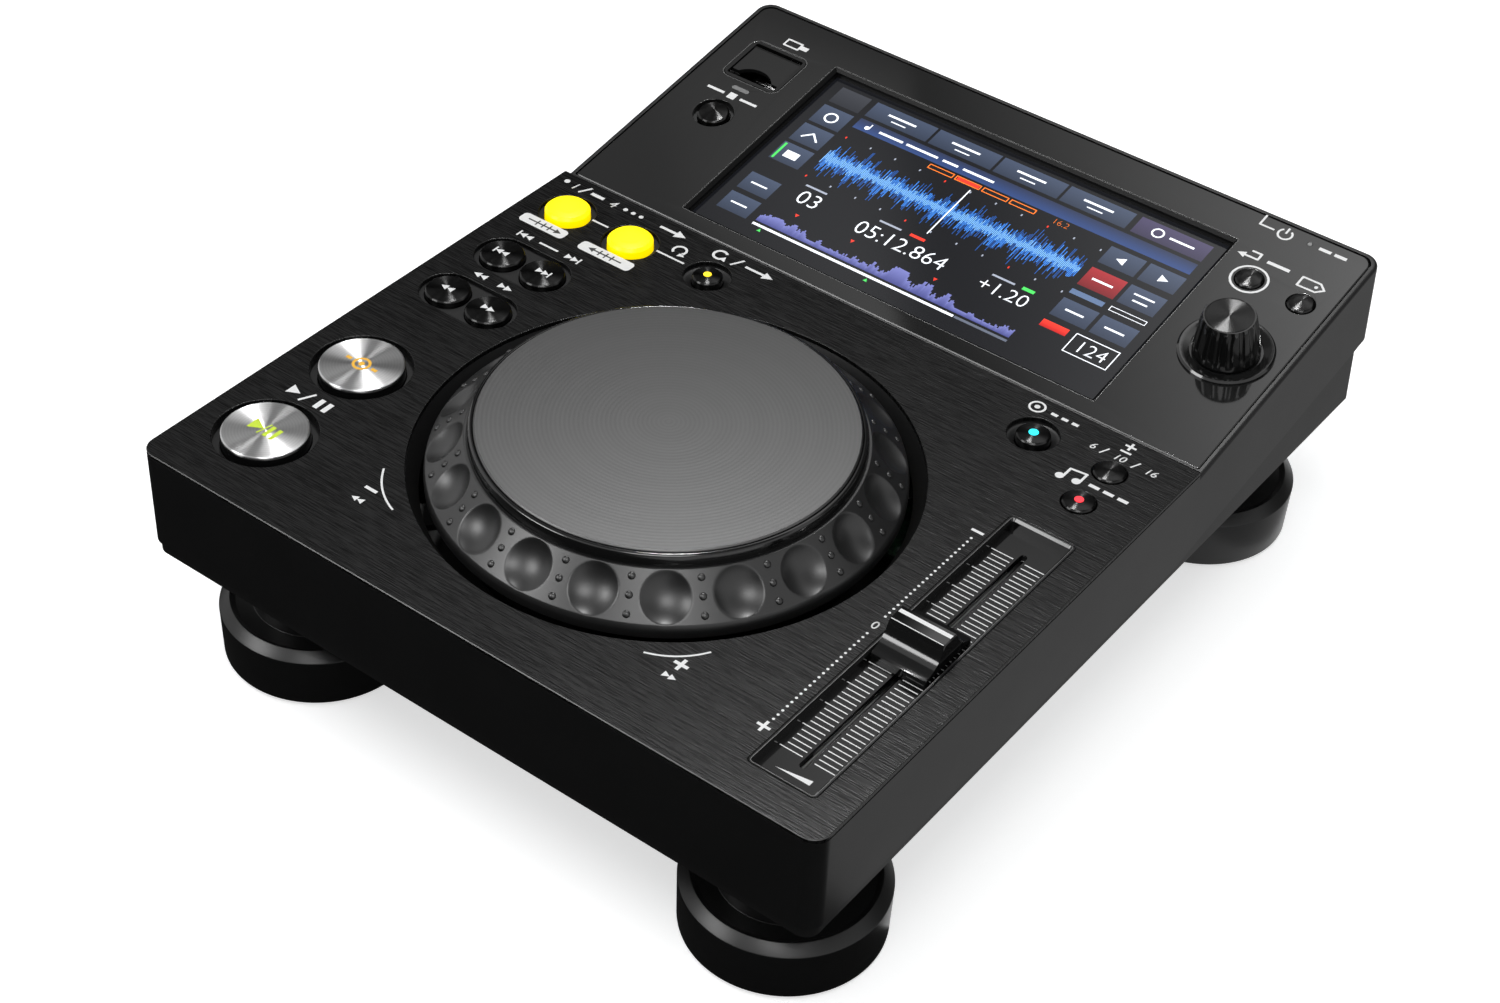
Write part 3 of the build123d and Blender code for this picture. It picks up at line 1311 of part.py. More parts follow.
# ================================================================ main board
def make_main_board():
    z = -chassis_bottom + chassis_wall + main_board_stand
    board = deck_at(main_board_x, main_board_y, z) * Box(
        main_board_width, main_board_length, main_board_thick, align=BOTTOM)
    for x, y in main_board_places():
        board -= deck_at(x, y, z) * Cylinder(board_screw_radius + board_hole_gap,
                                             main_board_thick, align=BOTTOM)
    for dx, dy, w, l, h in main_board_chips:
        board += deck_at(main_board_x + dx, main_board_y + dy, z + main_board_thick) * Box(
            w, l, h, align=BOTTOM)
    return board


def make_board_screws():
    screws = []
    screw = Cylinder(board_screw_head, board_screw_head_height, align=TOP)
    screw += Cylinder(board_screw_pilot - seat_gap, board_screw_length, align=BOTTOM)
    for x, y in board_boss_places("deck"):
        screws.append(deck_at(x, y, -board_depth - board_thick) * screw)
    for u, v in board_boss_places("panel"):
        screws.append(panel_at(u, v, -board_depth - board_thick) * screw)
    z = -chassis_bottom + chassis_wall + main_board_stand + main_board_thick
    for x, y in main_board_places():
        screws.append(deck_at(x, y, z) * Rot(180, 0, 0) * screw)
    return Compound(screws)


# ================================================================ write the pieces
housing = make_housing()
nodes = {
    "top_case": housing_part(housing, -1),
    "rear_case": housing_part(housing, 1),
    "deck_plate": make_deck_plate(),
    "display_panel": make_display_panel(),
    "screen_glass": make_screen_glass(),
    "lcd_module": make_lcd_module(),
    "bottom_chassis": make_bottom_chassis(),
    "foot_pads": make_foot_pads(),
    "foot_screws": make_foot_screws(),
    "case_screws": make_case_screws(),
    "jog_dial": make_jog_dial(),
    "jog_rim": make_jog_rim(),
    "jog_platter": make_jog_platter(),
    "jog_bearing": make_jog_bearing(),
    "jog_encoder_disc": make_jog_encoder_disc(),
    "jog_base": make_jog_base(),
    "jog_sensor": make_jog_sensor(),
    "fader_bezel": make_fader_bezel(),
    "fader_frame": Compound([make_fader_frame(), *make_fader_rods()]),
    "fader_carriage": make_fader_carriage(),
    "fader_cap": make_fader_cap(),
    "key_board_left": make_key_board_left(),
    "key_board_right": make_key_board_right(),
    "panel_boards": make_panel_boards(),
    "rotary_collar": make_rotary_collar(),
    "rotary_knob": make_rotary_knob(),
    "rotary_shaft": make_rotary_shaft(),
    "rotary_plunger": make_rotary_plunger(),
    "rotary_encoder": make_rotary_encoder(),
    "usb_bay": make_usb_bay(),
    "usb_flap": make_usb_flap(),
    "usb_socket": make_usb_socket(),
    "indicator_lenses": make_indicator_lenses(),
    "rca_sockets": make_rca_sockets(),
    "lan_socket": make_lan_socket(),
    "usb_b_socket": make_usb_b_socket(),
    "dc_inlet": make_dc_inlet(),
    "power_button": make_power_button(),
    "jack_board": make_jack_board(),
    "main_board": make_main_board(),
    "board_screws": make_board_screws(),
}
for foot, (x, y) in zip(("foot_front_left", "foot_front_right", "foot_rear_left",
                         "foot_rear_right"), foot_places()):
    nodes[foot] = make_foot(x, y)
for name, (x, y, r, top, travel, recess) in deck_buttons.items():
    nodes[name] = deck_at(x, y) * make_button(r, top, travel, deck_under)
for name, (u, v, r, top, travel, recess) in panel_buttons.items():
    nodes[name] = panel_at(u, v) * make_button(r, top, travel, panel_under)

os.makedirs("parts", exist_ok=True)
for name, shape in nodes.items():
    export_step(shape, "parts/" + name + ".step")
    print(name, len(shape.solids()), "solids", round(shape.volume, 1))
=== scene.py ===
import json
import random
from math import asin, atan2, cos, pi, radians, sin, sqrt

import bmesh
import bpy
import numpy as np
from mathutils import Matrix, Vector


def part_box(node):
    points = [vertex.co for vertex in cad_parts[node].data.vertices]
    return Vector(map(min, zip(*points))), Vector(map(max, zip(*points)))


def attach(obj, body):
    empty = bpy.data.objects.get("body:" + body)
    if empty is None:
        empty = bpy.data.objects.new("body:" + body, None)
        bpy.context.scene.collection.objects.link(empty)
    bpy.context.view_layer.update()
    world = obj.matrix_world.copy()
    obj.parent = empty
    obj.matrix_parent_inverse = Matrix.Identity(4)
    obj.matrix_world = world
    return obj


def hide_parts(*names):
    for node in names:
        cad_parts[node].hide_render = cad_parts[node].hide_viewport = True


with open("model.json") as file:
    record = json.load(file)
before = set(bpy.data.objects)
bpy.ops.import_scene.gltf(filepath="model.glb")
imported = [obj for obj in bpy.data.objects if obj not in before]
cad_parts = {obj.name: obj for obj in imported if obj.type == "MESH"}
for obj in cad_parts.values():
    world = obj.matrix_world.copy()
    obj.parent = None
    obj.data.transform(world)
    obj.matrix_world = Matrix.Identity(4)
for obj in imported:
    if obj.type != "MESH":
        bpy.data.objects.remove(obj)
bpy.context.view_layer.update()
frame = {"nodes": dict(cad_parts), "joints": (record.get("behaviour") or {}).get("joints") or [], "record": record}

# Finishes, printed marks, lit keys, screen picture and studio for the media player deck.
# Deck places are millimetres from the case's front left corner, heights from the deck's top.
# Panel places are millimetres along the tilted panel from its front left corner.

MM = 0.001
same_point = 0.002 * MM       # vertices nearer than this are one
record = frame["record"]
node_slots = {part["node"]: part["material_slot"] for part in record["subparts"]}
node_bodies = {node: body for body, nodes in record["behaviour"]["bodies"].items()
               for node in nodes}


# ------------------------------------------------------------------ the frame's own places
def middle_of(node):
    low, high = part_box(node)
    return (low + high) / 2


case_low, case_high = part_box("top_case")
deck_low, deck_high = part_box("deck_plate")
rotary_turn = next(j for j in frame["joints"] if j["name"] == "rotary_turn")
panel_normal = Vector(rotary_turn["axis"])
panel_tilt = atan2(-panel_normal.y, panel_normal.z)
panel_drop = 2.2              # panel's front edge below the deck's top
panel_length = 110.6
case_width = (case_high.x - case_low.x) / MM
deck_depth = (deck_high.y - deck_low.y) / MM
# the deck's top and the panel's face, each from its front left corner
deck = Matrix.Translation((case_low.x, case_low.y, deck_high.z))
panel = (Matrix.Translation((case_low.x, deck_high.y, deck_high.z - panel_drop * MM))
         @ Matrix.Rotation(panel_tilt, 4, "X"))


def place_on(base, x, y, z=0.0):
    """A place on the deck or the panel, in its own millimetres."""
    return base @ Matrix.Translation((x * MM, y * MM, z * MM))


jog_x, jog_y, _ = (middle_of("jog_dial") - case_low) / MM
jog_place = place_on(deck, jog_x, jog_y)
fader_x = case_width - 21.15
fader_mid = (fader_x, 74.65)
screen_mid = (case_width / 2, 51.5)
screen_half = (76.9, 41.2)
screen_bevel = 1.0
bay_mid = (21.7, 80.7)
knob_mid = (case_width - 20.2, 49.2)


# ------------------------------------------------------------------ node arithmetic
class Value:
    """A node socket that takes part in Python sums."""

    def __init__(self, maker, socket):
        self.maker, self.socket = maker, socket

    def math(self, operation, *others):
        return self.maker.node("ShaderNodeMath", {"operation": operation}, self, *others)

    def __rsub__(self, other):
        return self.maker.node("ShaderNodeMath", {"operation": "SUBTRACT"}, other, self)

    def __rtruediv__(self, other):
        return self.maker.node("ShaderNodeMath", {"operation": "DIVIDE"}, other, self)

    def clamped(self):
        return self.maker.node("ShaderNodeClamp", {}, self)


def math_method(operation):
    return lambda value, *others: value.math(operation, *others)


for method, operation in (("__add__", "ADD"), ("__radd__", "ADD"), ("__sub__", "SUBTRACT"),
                          ("__mul__", "MULTIPLY"), ("__rmul__", "MULTIPLY"),
                          ("__truediv__", "DIVIDE"), ("sine", "SINE"), ("cosine", "COSINE"),
                          ("root", "SQRT"), ("at_least", "MAXIMUM"), ("above", "GREATER_THAN")):
    setattr(Value, method, math_method(operation))


class NodeMaker:
    """Adds nodes to one tree."""

    def node(self, kind, settings=None, *values, out=0, **named):
        """Add a node: settings first, then its sockets by order or by name."""
        made = self.tree.nodes.new(kind)
        for key, value in (settings or {}).items():
            setattr(made, key, value)
        for socket, value in zip(made.inputs, values):
            self.feed(socket, value)
        for key, value in named.items():
            self.feed(made.inputs[key.replace("_", " ")], value)
        return Value(self, made.outputs[out]) if made.outputs else None

    def feed(self, socket, value):
        if isinstance(value, Value):
            self.tree.links.new(value.socket, socket)
        elif value is not None:
            socket.default_value = value

    def parts(self, vector):
        """The x, y and z of a vector."""
        split = self.node("ShaderNodeSeparateXYZ", {}, vector).socket.node
        return [Value(self, out) for out in split.outputs]

    def vector(self, x, y, z):
        return self.node("ShaderNodeCombineXYZ", {}, x, y, z)


class Finish(NodeMaker):
    """A material under construction, or the room's light."""

    def __init__(self, name, store=bpy.data.materials):
        self.made = store.new(name)
        self.made.use_nodes = True
        self.tree = self.made.node_tree
        self.tree.nodes.clear()

    def place(self, centre=(0, 0, 0), scale=(1, 1, 1)):
        """Object coordinates about a centre, stretched."""
        return self.node("ShaderNodeMapping", {"vector_type": "TEXTURE"},
                         self.node("ShaderNodeTexCoord", out="Object"),
                         Location=centre, Scale=scale)

    def from_axis(self, centre):
        """Distance from an upright axis."""
        x, y, z = self.parts(self.place(centre))
        return (x * x + y * y).root()

    def noise(self, at, scale, detail=3.0, roughness=0.5):
        return self.node("ShaderNodeTexNoise", {}, Vector=at, Scale=scale, Detail=detail,
                         Roughness=roughness)

    def mix(self, factor, first, second):
        unused = [None] * 5
        return self.node("ShaderNodeMix", {"data_type": "RGBA"}, factor, *unused, rgba(first),
                         rgba(second), out=2)

    def bump(self, height, strength, distance):
        return self.node("ShaderNodeBump", {}, Strength=strength, Distance=distance,
                         Height=height)

    def surface(self, colour, roughness, **rest):
        """Finish with a Principled surface and give the material."""
        return self.done(self.node("ShaderNodeBsdfPrincipled", {}, Base_Color=rgba(colour),
                                   Roughness=roughness, **rest))

    def done(self, shader):
        kind = "World" if isinstance(self.made, bpy.types.World) else "Material"
        self.node("ShaderNodeOutput" + kind, {}, shader)
        return self.made


class Rule(NodeMaker):
    """A Geometry Nodes tree with named inputs, run on an object and made a plain mesh."""

    def __init__(self, name):
        self.name = name
        self.tree = bpy.data.node_groups.new(name, "GeometryNodeTree")
        self.values = {}
        for way in ("INPUT", "OUTPUT"):
            self.tree.interface.new_socket("Geometry", in_out=way,
                                           socket_type="NodeSocketGeometry")
        self.entry = self.tree.nodes.new("NodeGroupInput")

    def entered(self, name):
        return Value(self, self.entry.outputs[name])

    def size(self, name, value):
        """A named input of the tree."""
        kind = "NodeSocketInt" if isinstance(value, int) else "NodeSocketFloat"
        socket = self.tree.interface.new_socket(name, in_out="INPUT", socket_type=kind)
        self.values[socket.identifier] = value
        return self.entered(name)

    def join(self, *shapes):
        made = self.tree.nodes.new("GeometryNodeJoinGeometry")
        for shape in shapes:
            self.feed(made.inputs[0], shape)
        return Value(self, made.outputs[0])

    def run(self, shape, material, start=None):
        """Realize, set the material, and return a new plain object."""
        real = self.node("GeometryNodeRealizeInstances", {}, shape)
        self.node("NodeGroupOutput", {}, self.node("GeometryNodeSetMaterial", {}, Geometry=real,
                                                   Material=material))
        holder = start or placed(self.name + "_start", bpy.data.meshes.new(self.name))
        modifier = holder.modifiers.new(self.name, "NODES")
        modifier.node_group = self.tree
        for identifier, value in self.values.items():
            modifier[identifier] = value
        result = mesh_of(holder)
        bpy.data.objects.remove(holder)
        obj = placed(self.name, result)
        set_material(obj, material)
        return obj


# ------------------------------------------------------------------ finishes
quarter_turn = 0.25


def rgba(colour):
    if isinstance(colour, Value):
        return colour
    return (*colour, 1.0)


def grey(level, tint=(1.0, 1.0, 1.0)):
    return tuple(level * share for share in tint)


def from_display(red, green, blue):
    """A colour given as display levels of 0 to 255, as the linear values a shader wants."""
    def linear(share):
        return share / 12.92 if share <= 0.04045 else ((share + 0.055) / 1.055) ** 2.4
    return tuple(linear(level / 255) for level in (red, green, blue))


def moulded_plastic(name, level, roughness, grain=0.00002, specular=0.5):
    """Moulded plastic with a fine spark-eroded grain and slight mottling."""
    f = Finish(name)
    cool = (1.0, 1.0, 1.02)
    fine = f.noise(f.place(), 2600.0, 2.0, 0.6)
    broad = f.noise(f.place(), 45.0)
    colour = f.mix(broad, grey(level * 0.88, cool), grey(level * 1.12, cool))
    rough = (fine * 0.10 + broad * 0.06 + (roughness - 0.08)).clamped()
    return f.surface(colour, rough, Normal=f.bump(fine, 0.6, grain), Specular_IOR_Level=specular)


def gloss_plastic(name, level, roughness):
    """Piano-gloss plastic: black, with faint orange peel and hair-fine haze."""
    f = Finish(name)
    peel = f.noise(f.place(), 160.0, 2.0)
    haze = f.noise(f.place(), 30.0, 4.0)
    colour = f.mix(haze, grey(level * 0.9), grey(level * 1.1))
    return f.surface(colour, haze * 0.03 + (roughness - 0.015),
                     Normal=f.bump(peel, 0.10, 0.000004))


def brushed_deck(name):
    """Black anodised sheet, brushed across the deck from side to side."""
    f = Finish(name)
    long_lines = f.noise(f.place(scale=(0.030, 0.0006, 1.0)), 1.0, 1.0)
    short_lines = f.noise(f.place(scale=(0.007, 0.00034, 1.0)), 1.0, 1.0)
    lines = (long_lines * 0.4 + short_lines * 0.6 - 0.5) * 3.0 + 0.5
    broad = f.noise(f.place(), 9.0, 2.0)
    colour = f.mix(lines.clamped(), grey(0.0005), grey(0.0115))
    rough = (lines * 0.11 + broad * 0.04 + 0.20).clamped()
    return f.surface(colour, rough, Normal=f.bump(lines, 1.0, 0.00003), Specular_IOR_Level=0.20)


def spun_metal(name, centre, level, pitch, rough, spread):
    """Metal turned on a lathe: fine rings round the centre that draw the highlight outwards."""
    f = Finish(name)
    radius = f.from_axis(centre)
    wobble = f.noise(f.place(centre), 700.0, 2.0)
    rings = (radius * (2 * pi / pitch) + wobble * 0.1).sine()
    coarse = (radius * (2 * pi / (pitch * 7.3))).sine()
    height = rings * 0.8 + coarse * 0.2
    colour = f.mix(height * 0.5 + 0.5, grey(level * 0.94), grey(level * 1.05))
    return f.surface(colour, (wobble * 0.08 + (rough - 0.04)).clamped(), Metallic=1.0,
                     Normal=f.bump(height, 1.0, 0.000004), Anisotropic=spread,
                     Anisotropic_Rotation=quarter_turn)


def spun_black(name, centre):
    """Black lacquer over a turned face: fine rings draw each light out into a bow."""
    f = Finish(name)
    rings = (f.from_axis(centre) * (2 * pi / 0.0008)).sine()
    speck = f.noise(f.place(), 900.0, 2.0)
    return f.surface(f.mix(speck, grey(0.026), grey(0.034)), speck * 0.03 + 0.21, Metallic=1.0,
                     Normal=f.bump(rings, 1.0, 0.000002), Anisotropic=1.0,
                     Anisotropic_Rotation=quarter_turn)


def plain_metal(name, level, roughness, tint=(1.0, 1.0, 1.0)):
    """Plated or turned metal with fine scratches."""
    f = Finish(name)
    scratches = f.noise(f.place(scale=(0.004, 0.0004, 0.004)), 1.0, 3.0, 0.7)
    colour = f.mix(scratches, grey(level * 0.9, tint), grey(level, tint))
    rough = (scratches * 0.15 + (roughness - 0.07)).clamped()
    return f.surface(colour, rough, Metallic=1.0, Normal=f.bump(scratches, 0.15, 0.00002))


def foot_rubber():
    f = Finish("foot_rubber")
    dust = f.noise(f.place(), 320.0, 5.0, 0.7)
    fine = f.noise(f.place(), 3000.0, 2.0)
    return f.surface(f.mix(dust, grey(0.012), grey(0.0225)), (dust * 0.2 + 0.7).clamped(),
                     Normal=f.bump(fine, 0.8, 0.00003), Specular_IOR_Level=0.35)


def circuit_board():
    """Green solder mask over copper tracks and tinned pads."""
    f = Finish("circuit_board")
    cell = f.node("ShaderNodeTexVoronoi", {"feature": "DISTANCE_TO_EDGE"}, Vector=f.place(),
                  Scale=260.0)
    tracks = cell.above(0.06)
    colour = f.mix(tracks, from_display(26, 70, 42), from_display(10, 40, 24))
    return f.surface(colour, 0.4, Normal=f.bump(tracks, 0.3, 0.00003))


def light_guide():
    f = Finish("light_guide")
    frost = f.noise(f.place(), 800.0, 2.0)
    return f.surface(f.mix(frost, grey(0.16), grey(0.26)), frost * 0.1 + 0.2)


def print_ink(name, colour, glow=0.0):
    """Screen-printed ink, faintly uneven."""
    f = Finish(name)
    patchy = f.noise(f.place(), 900.0)
    shade = f.mix(patchy, tuple(c * 0.9 for c in colour), colour)
    return f.surface(shade, patchy * 0.15 + 0.4, Emission_Color=rgba(colour),
                     Emission_Strength=glow)


def lit_key(name, centre):
    """Translucent yellow key lit from below, brighter in the middle."""
    f = Finish(name)
    glow_radius = 7.4 * MM
    share = (f.from_axis(centre) / glow_radius).clamped()
    speckle = f.noise(f.place(), 400.0, 2.0)
    mask = (share * share + speckle * 0.08).clamped()
    colour = f.mix(mask, from_display(252, 255, 18), from_display(255, 222, 0))
    return f.surface(colour, speckle * 0.1 + 0.3, Emission_Color=colour, Emission_Strength=0.9,
                     Specular_IOR_Level=0.2)


def screen_light():
    """Lit screen picture: its colours are painted on the mesh."""
    f = Finish("screen_light")
    paint = f.node("ShaderNodeAttribute", {"attribute_name": "paint"}, out="Color")
    grain = f.noise(f.place(), 5000.0, 1.0)
    return f.surface(f.mix(grain * 0.12, paint, grey(0.0)), 0.12, Emission_Color=paint,
                     Emission_Strength=0.85, Specular_IOR_Level=0.4)


finishes = {
    "case_black": moulded_plastic("case_moulding", 0.006, 0.40, 0.00001, 0.32),
    "deck_black": brushed_deck("brushed_deck"),
    "panel_gloss": gloss_plastic("panel_gloss", 0.010, 0.07),
    "screen": gloss_plastic("screen_glass", 0.004, 0.035),
    "chassis_grey": moulded_plastic("chassis_paint", 0.008, 0.45, 0.00002, 0.32),
    "foot_black": moulded_plastic("foot_moulding", 0.006, 0.34, 0.00001, 0.35),
    "rubber_black": foot_rubber(),
    "dial_black": moulded_plastic("dial_moulding", 0.006, 0.38, 0.000003, 0.62),
    "rim_gloss": gloss_plastic("gloss_rim", 0.006, 0.10),
    "platter_grey": spun_metal("spun_platter", jog_place.translation, 0.098, 0.0013, 0.46, 0.0),
    "button_black": gloss_plastic("key_gloss", 0.006, 0.12),
    "fader_black": gloss_plastic("fader_gloss", 0.006, 0.10),
    "steel": plain_metal("zinc_steel", 0.55, 0.32),
    "brass_race": plain_metal("bearing_brass", 0.6, 0.3, (1.0, 0.75, 0.35)),
    "board_green": circuit_board(),
    "socket_black": moulded_plastic("socket_moulding", 0.012, 0.4),
    "socket_metal": plain_metal("nickel_plate", 0.62, 0.25),
    "lens_clear": light_guide(),
    # lighter metal for edge facets and rim strokes, so edges show painted highlight lines
    "edge_highlight_metal": plain_metal("edge_highlight_metal", 0.08, 0.4),
    "slope_black": moulded_plastic("slope_moulding", 0.004, 0.4, 0.00001, 0.1),
}
white_ink = print_ink("white_ink", grey(0.86))


# ------------------------------------------------------------------ mesh tools
def placed(name, data):
    """A new object in the scene."""
    obj = bpy.data.objects.new(name, data)
    bpy.context.scene.collection.objects.link(obj)
    return obj


def mesh_of(obj):
    """The plain mesh that an object's modifiers or curve come to."""
    return bpy.data.meshes.new_from_object(obj.evaluated_get(
        bpy.context.evaluated_depsgraph_get()))


def set_material(obj, material):
    obj.data.materials.clear()
    obj.data.materials.append(material)


def finish_piece(obj, node, replaces=False):
    """Attach a finished piece to a node's body and hide what it stands for."""
    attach(obj, node_bodies[node])
    if replaces:
        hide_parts(node)
    return obj


def object_from(bm, name, material, angle=None, place=None):
    """Close a mesh under construction, put it in its place and shade it."""
    if place:
        bmesh.ops.transform(bm, matrix=place, verts=bm.verts)
        bmesh.ops.recalc_face_normals(bm, faces=bm.faces)
    mesh = bpy.data.meshes.new(name)
    bm.to_mesh(mesh)
    bm.free()
    obj = placed(name, mesh)
    if material:
        set_material(obj, material)
    if angle:
        smooth(obj, angle)
    return obj


def smooth(obj, angle):
    """Shade smooth except over edges that turn more than the angle."""
    bm = bmesh.new()
    bm.from_mesh(obj.data)
    for face in bm.faces:
        face.smooth = True
    for edge in bm.edges:
        edge.smooth = len(edge.link_faces) == 2 and edge.calc_face_angle(0) < radians(angle)
    bm.to_mesh(obj.data)
    bm.free()


def even_flats(obj):
    """Let big flat faces keep their own normals where they meet a rounded edge."""
    weighted = obj.modifiers.new("even_flats", "WEIGHTED_NORMAL")
    weighted.weight = 100
    weighted.keep_sharp = True
    mesh = mesh_of(obj)
    obj.modifiers.clear()
    obj.data = mesh
    return obj


def refined(node, material=None):
    """A merged copy of a node's mesh with smooth curved faces, in the node's place."""
    bm = bmesh.new()
    bm.from_mesh(frame["nodes"][node].data)
    bmesh.ops.remove_doubles(bm, verts=bm.verts, dist=same_point)
    piece = object_from(bm, node + "_skin", material or finishes[node_slots[node]], 32)
    finish_piece(even_flats(piece), node, replaces=True)


def join_rings(bm, rings, closed=True, around=True):
    """Faces from each ring of vertices to the next; a ring of one vertex is a point."""
    for first, second in zip(rings, rings[1:] + (rings[:1] if closed else [])):
        count = max(len(first), len(second))
        for k in range(count if around else count - 1):
            j = (k + 1) % count
            corner = (first[k % len(first)], first[j % len(first)],
                      second[j % len(second)], second[k % len(second)])
            corner = [v for i, v in enumerate(corner) if v not in corner[:i]]
            if len(corner) > 2:
                bm.faces.new(corner)


def soft_corners(points, radius, steps=4):
    """Round each corner of a closed (radius, height) profile."""
    out = []
    for before, here, after in zip(points[-1:] + points, points, points[1:] + points[:1]):
        before, here, after = Vector(before), Vector(here), Vector(after)
        reach = min(radius, (before - here).length * 0.45, (after - here).length * 0.45)
        if here.x < 1e-6 or reach < 1e-6:
            out.append(here)
            continue
        start = here + (before - here).normalized() * reach
        end = here + (after - here).normalized() * reach
        out += [start.lerp(here, k / steps).lerp(here.lerp(end, k / steps), k / steps)
                for k in range(steps + 1)]
    return out


def turned(name, points, place, material, segments=128, radius=0.25):
    """Turn a closed (radius, height) profile in millimetres about the place's own axis."""
    bm = bmesh.new()
    rings = []
    for r, z in soft_corners(points, radius) if radius else points:
        angles = [2 * pi * s / segments for s in range(segments)] if r > 1e-6 else [0.0]
        rings.append([bm.verts.new((r * MM * cos(a), r * MM * sin(a), z * MM)) for a in angles])
    join_rings(bm, rings)
    return object_from(bm, name, material, 32, place)


# ------------------------------------------------------------------ sheets cut from outlines
def bow(x, y, radius, start, end, steps):
    """Points along part of a circle, from one angle to another."""
    angles = [start + (end - start) * k / steps for k in range(steps + 1)]
    return [(x + radius * cos(a), y + radius * sin(a)) for a in angles]


def circle(x, y, radius, steps=96):
    return bow(x, y, radius, 0, 2 * pi, steps)[:-1]


def corners(x0, y0, x1, y1):
    return [(x0, y0), (x1, y0), (x1, y1), (x0, y1)]


def rounded(x0, y0, x1, y1, radii, steps=8):
    """A rectangle's outline with its own radius at each corner, from the front left one."""
    if not isinstance(radii, tuple):
        radii = (radii,) * 4
    out = []
    for k, ((x, y), r) in enumerate(zip(corners(x0, y0, x1, y1), radii)):
        out += bow(x + (r if x == x0 else -r), y + (r if y == y0 else -r), r,
                   pi + pi / 2 * k, pi + pi / 2 * (k + 1), steps)
    return out


def around(middle, half, radii, steps=8):
    """The same about a middle, from half the width and half the depth."""
    (x, y), (a, b) = middle, half
    return rounded(x - a, y - b, x + a, y + b, radii, steps)


def cut_sheet(name, outlines, thickness, bevel, place, material):
    """A flat sheet with holes, every edge rounded, its top on the place's own plane."""
    curve = bpy.data.curves.new(name, "CURVE")
    curve.dimensions = "2D"
    curve.fill_mode = "BOTH"
    curve.extrude = (thickness / 2 - bevel) * MM
    curve.bevel_depth = bevel * MM
    curve.bevel_resolution = 2
    curve.offset = -bevel * MM
    for outline in outlines:
        spline = curve.splines.new("POLY")
        spline.points.add(len(outline) - 1)
        spline.points.foreach_set("co", [c for x, y in outline for c in (x * MM, y * MM, 0, 1)])
        spline.use_cyclic_u = True
    holder = placed(name + "_outline", curve)
    bm = bmesh.new()
    bm.from_mesh(mesh_of(holder))
    bpy.data.objects.remove(holder)
    bmesh.ops.remove_doubles(bm, verts=bm.verts, dist=same_point)
    return even_flats(object_from(bm, name, material, 32,
                                  place_on(place, 0, 0, -thickness / 2)))


def edge_line(name, outer, inner, drop, place, node, some=None):
    """A narrow sloping facet along an outline, or along some of its points, in a metal lighter than the plate: a
    painted highlight line added to the light its slope catches.
    """
    order = some or range(len(outer))
    bm = bmesh.new()
    rails = [[bm.verts.new((points[k][0] * MM, points[k][1] * MM, z * MM)) for k in order]
             for points, z in ((outer, -drop), (inner, 0.01), (inner, -drop))]
    join_rings(bm, rails, around=not some)
    if some:
        bm.faces.new([rail[0] for rail in rails])
        bm.faces.new([rail[-1] for rail in rails][::-1])
    finish_piece(object_from(bm, name, finishes["edge_highlight_metal"], 20, place), node)


# ------------------------------------------------------------------ studio
def studio_camera():
    right = Vector((0.79659632, 0.60288603, 0.04430279))
    down = Vector((0.41760066, -0.49582492, -0.76142454))
    ahead = Vector((-0.43708579, 0.62504887, -0.64673791))
    data = bpy.data.cameras.new("studio_camera")
    data.lens = 64.835
    data.sensor_width = 36.0
    data.clip_start = 0.05
    data.clip_end = 20.0
    camera = placed("studio_camera", data)
    turn = Matrix((right, -down, -ahead)).transposed().to_4x4()
    camera.matrix_world = Matrix.Translation((0.36123, -0.53378, 0.57395)) @ turn
    bpy.context.scene.camera = camera


def seen_directly(f):
    """1 for the rays of the camera, of gloss and of clear things, 0 for those that light."""
    camera, gloss, clear = (f.node("ShaderNodeLightPath", out=f"Is {kind} Ray")
                            for kind in ("Camera", "Glossy", "Transmission"))
    return (camera + gloss + clear).clamped()


def studio_room():
    """A white room, whose fill light is softer than it looks."""
    f = Finish("studio_world", bpy.data.worlds)
    fill = f.node("ShaderNodeBackground", {}, Color=(0.97, 0.99, 1.0, 1), Strength=0.5)
    white = f.node("ShaderNodeBackground", {}, Color=(1, 1, 1, 1), Strength=1.0)
    bpy.context.scene.world = f.done(f.node("ShaderNodeMixShader", {}, seen_directly(f), fill,
                                            white))


def studio_floor():
    """A pale floor that is white where the lamps reach it and keeps a shadow."""
    bpy.ops.mesh.primitive_plane_add(size=12)
    floor = bpy.context.object
    floor.name = "studio_floor"
    f = Finish("studio_floor")
    lit = f.node("ShaderNodeBsdfDiffuse", {}, Color=(0.8, 0.8, 0.8, 1))
    glow = f.node("ShaderNodeEmission", {}, Color=(1, 1, 1, 1), Strength=0.6)
    pale = f.node("ShaderNodeAddShader", {}, lit, glow)
    matt = f.node("ShaderNodeBsdfDiffuse", {}, Color=(0.35, 0.35, 0.35, 1))
    set_material(floor, f.done(f.node("ShaderNodeMixShader", {}, seen_directly(f), matt, pale)))


def softbox(name, place, aim, size, power):
    """A lamp with a broad face; one for gloss alone adds no light of its own."""
    for_gloss = name.endswith("gloss")
    data = bpy.data.lights.new(name, "AREA")
    data.shape = "ELLIPSE" if for_gloss else "RECTANGLE"
    data.size, data.size_y = size
    data.energy = power
    light = placed(name, data)
    light.location = place
    light.rotation_euler = (Vector(aim) - Vector(place)).to_track_quat("-Z", "Y").to_euler()
    light.visible_camera = False
    light.visible_glossy = for_gloss
    light.visible_diffuse = not for_gloss


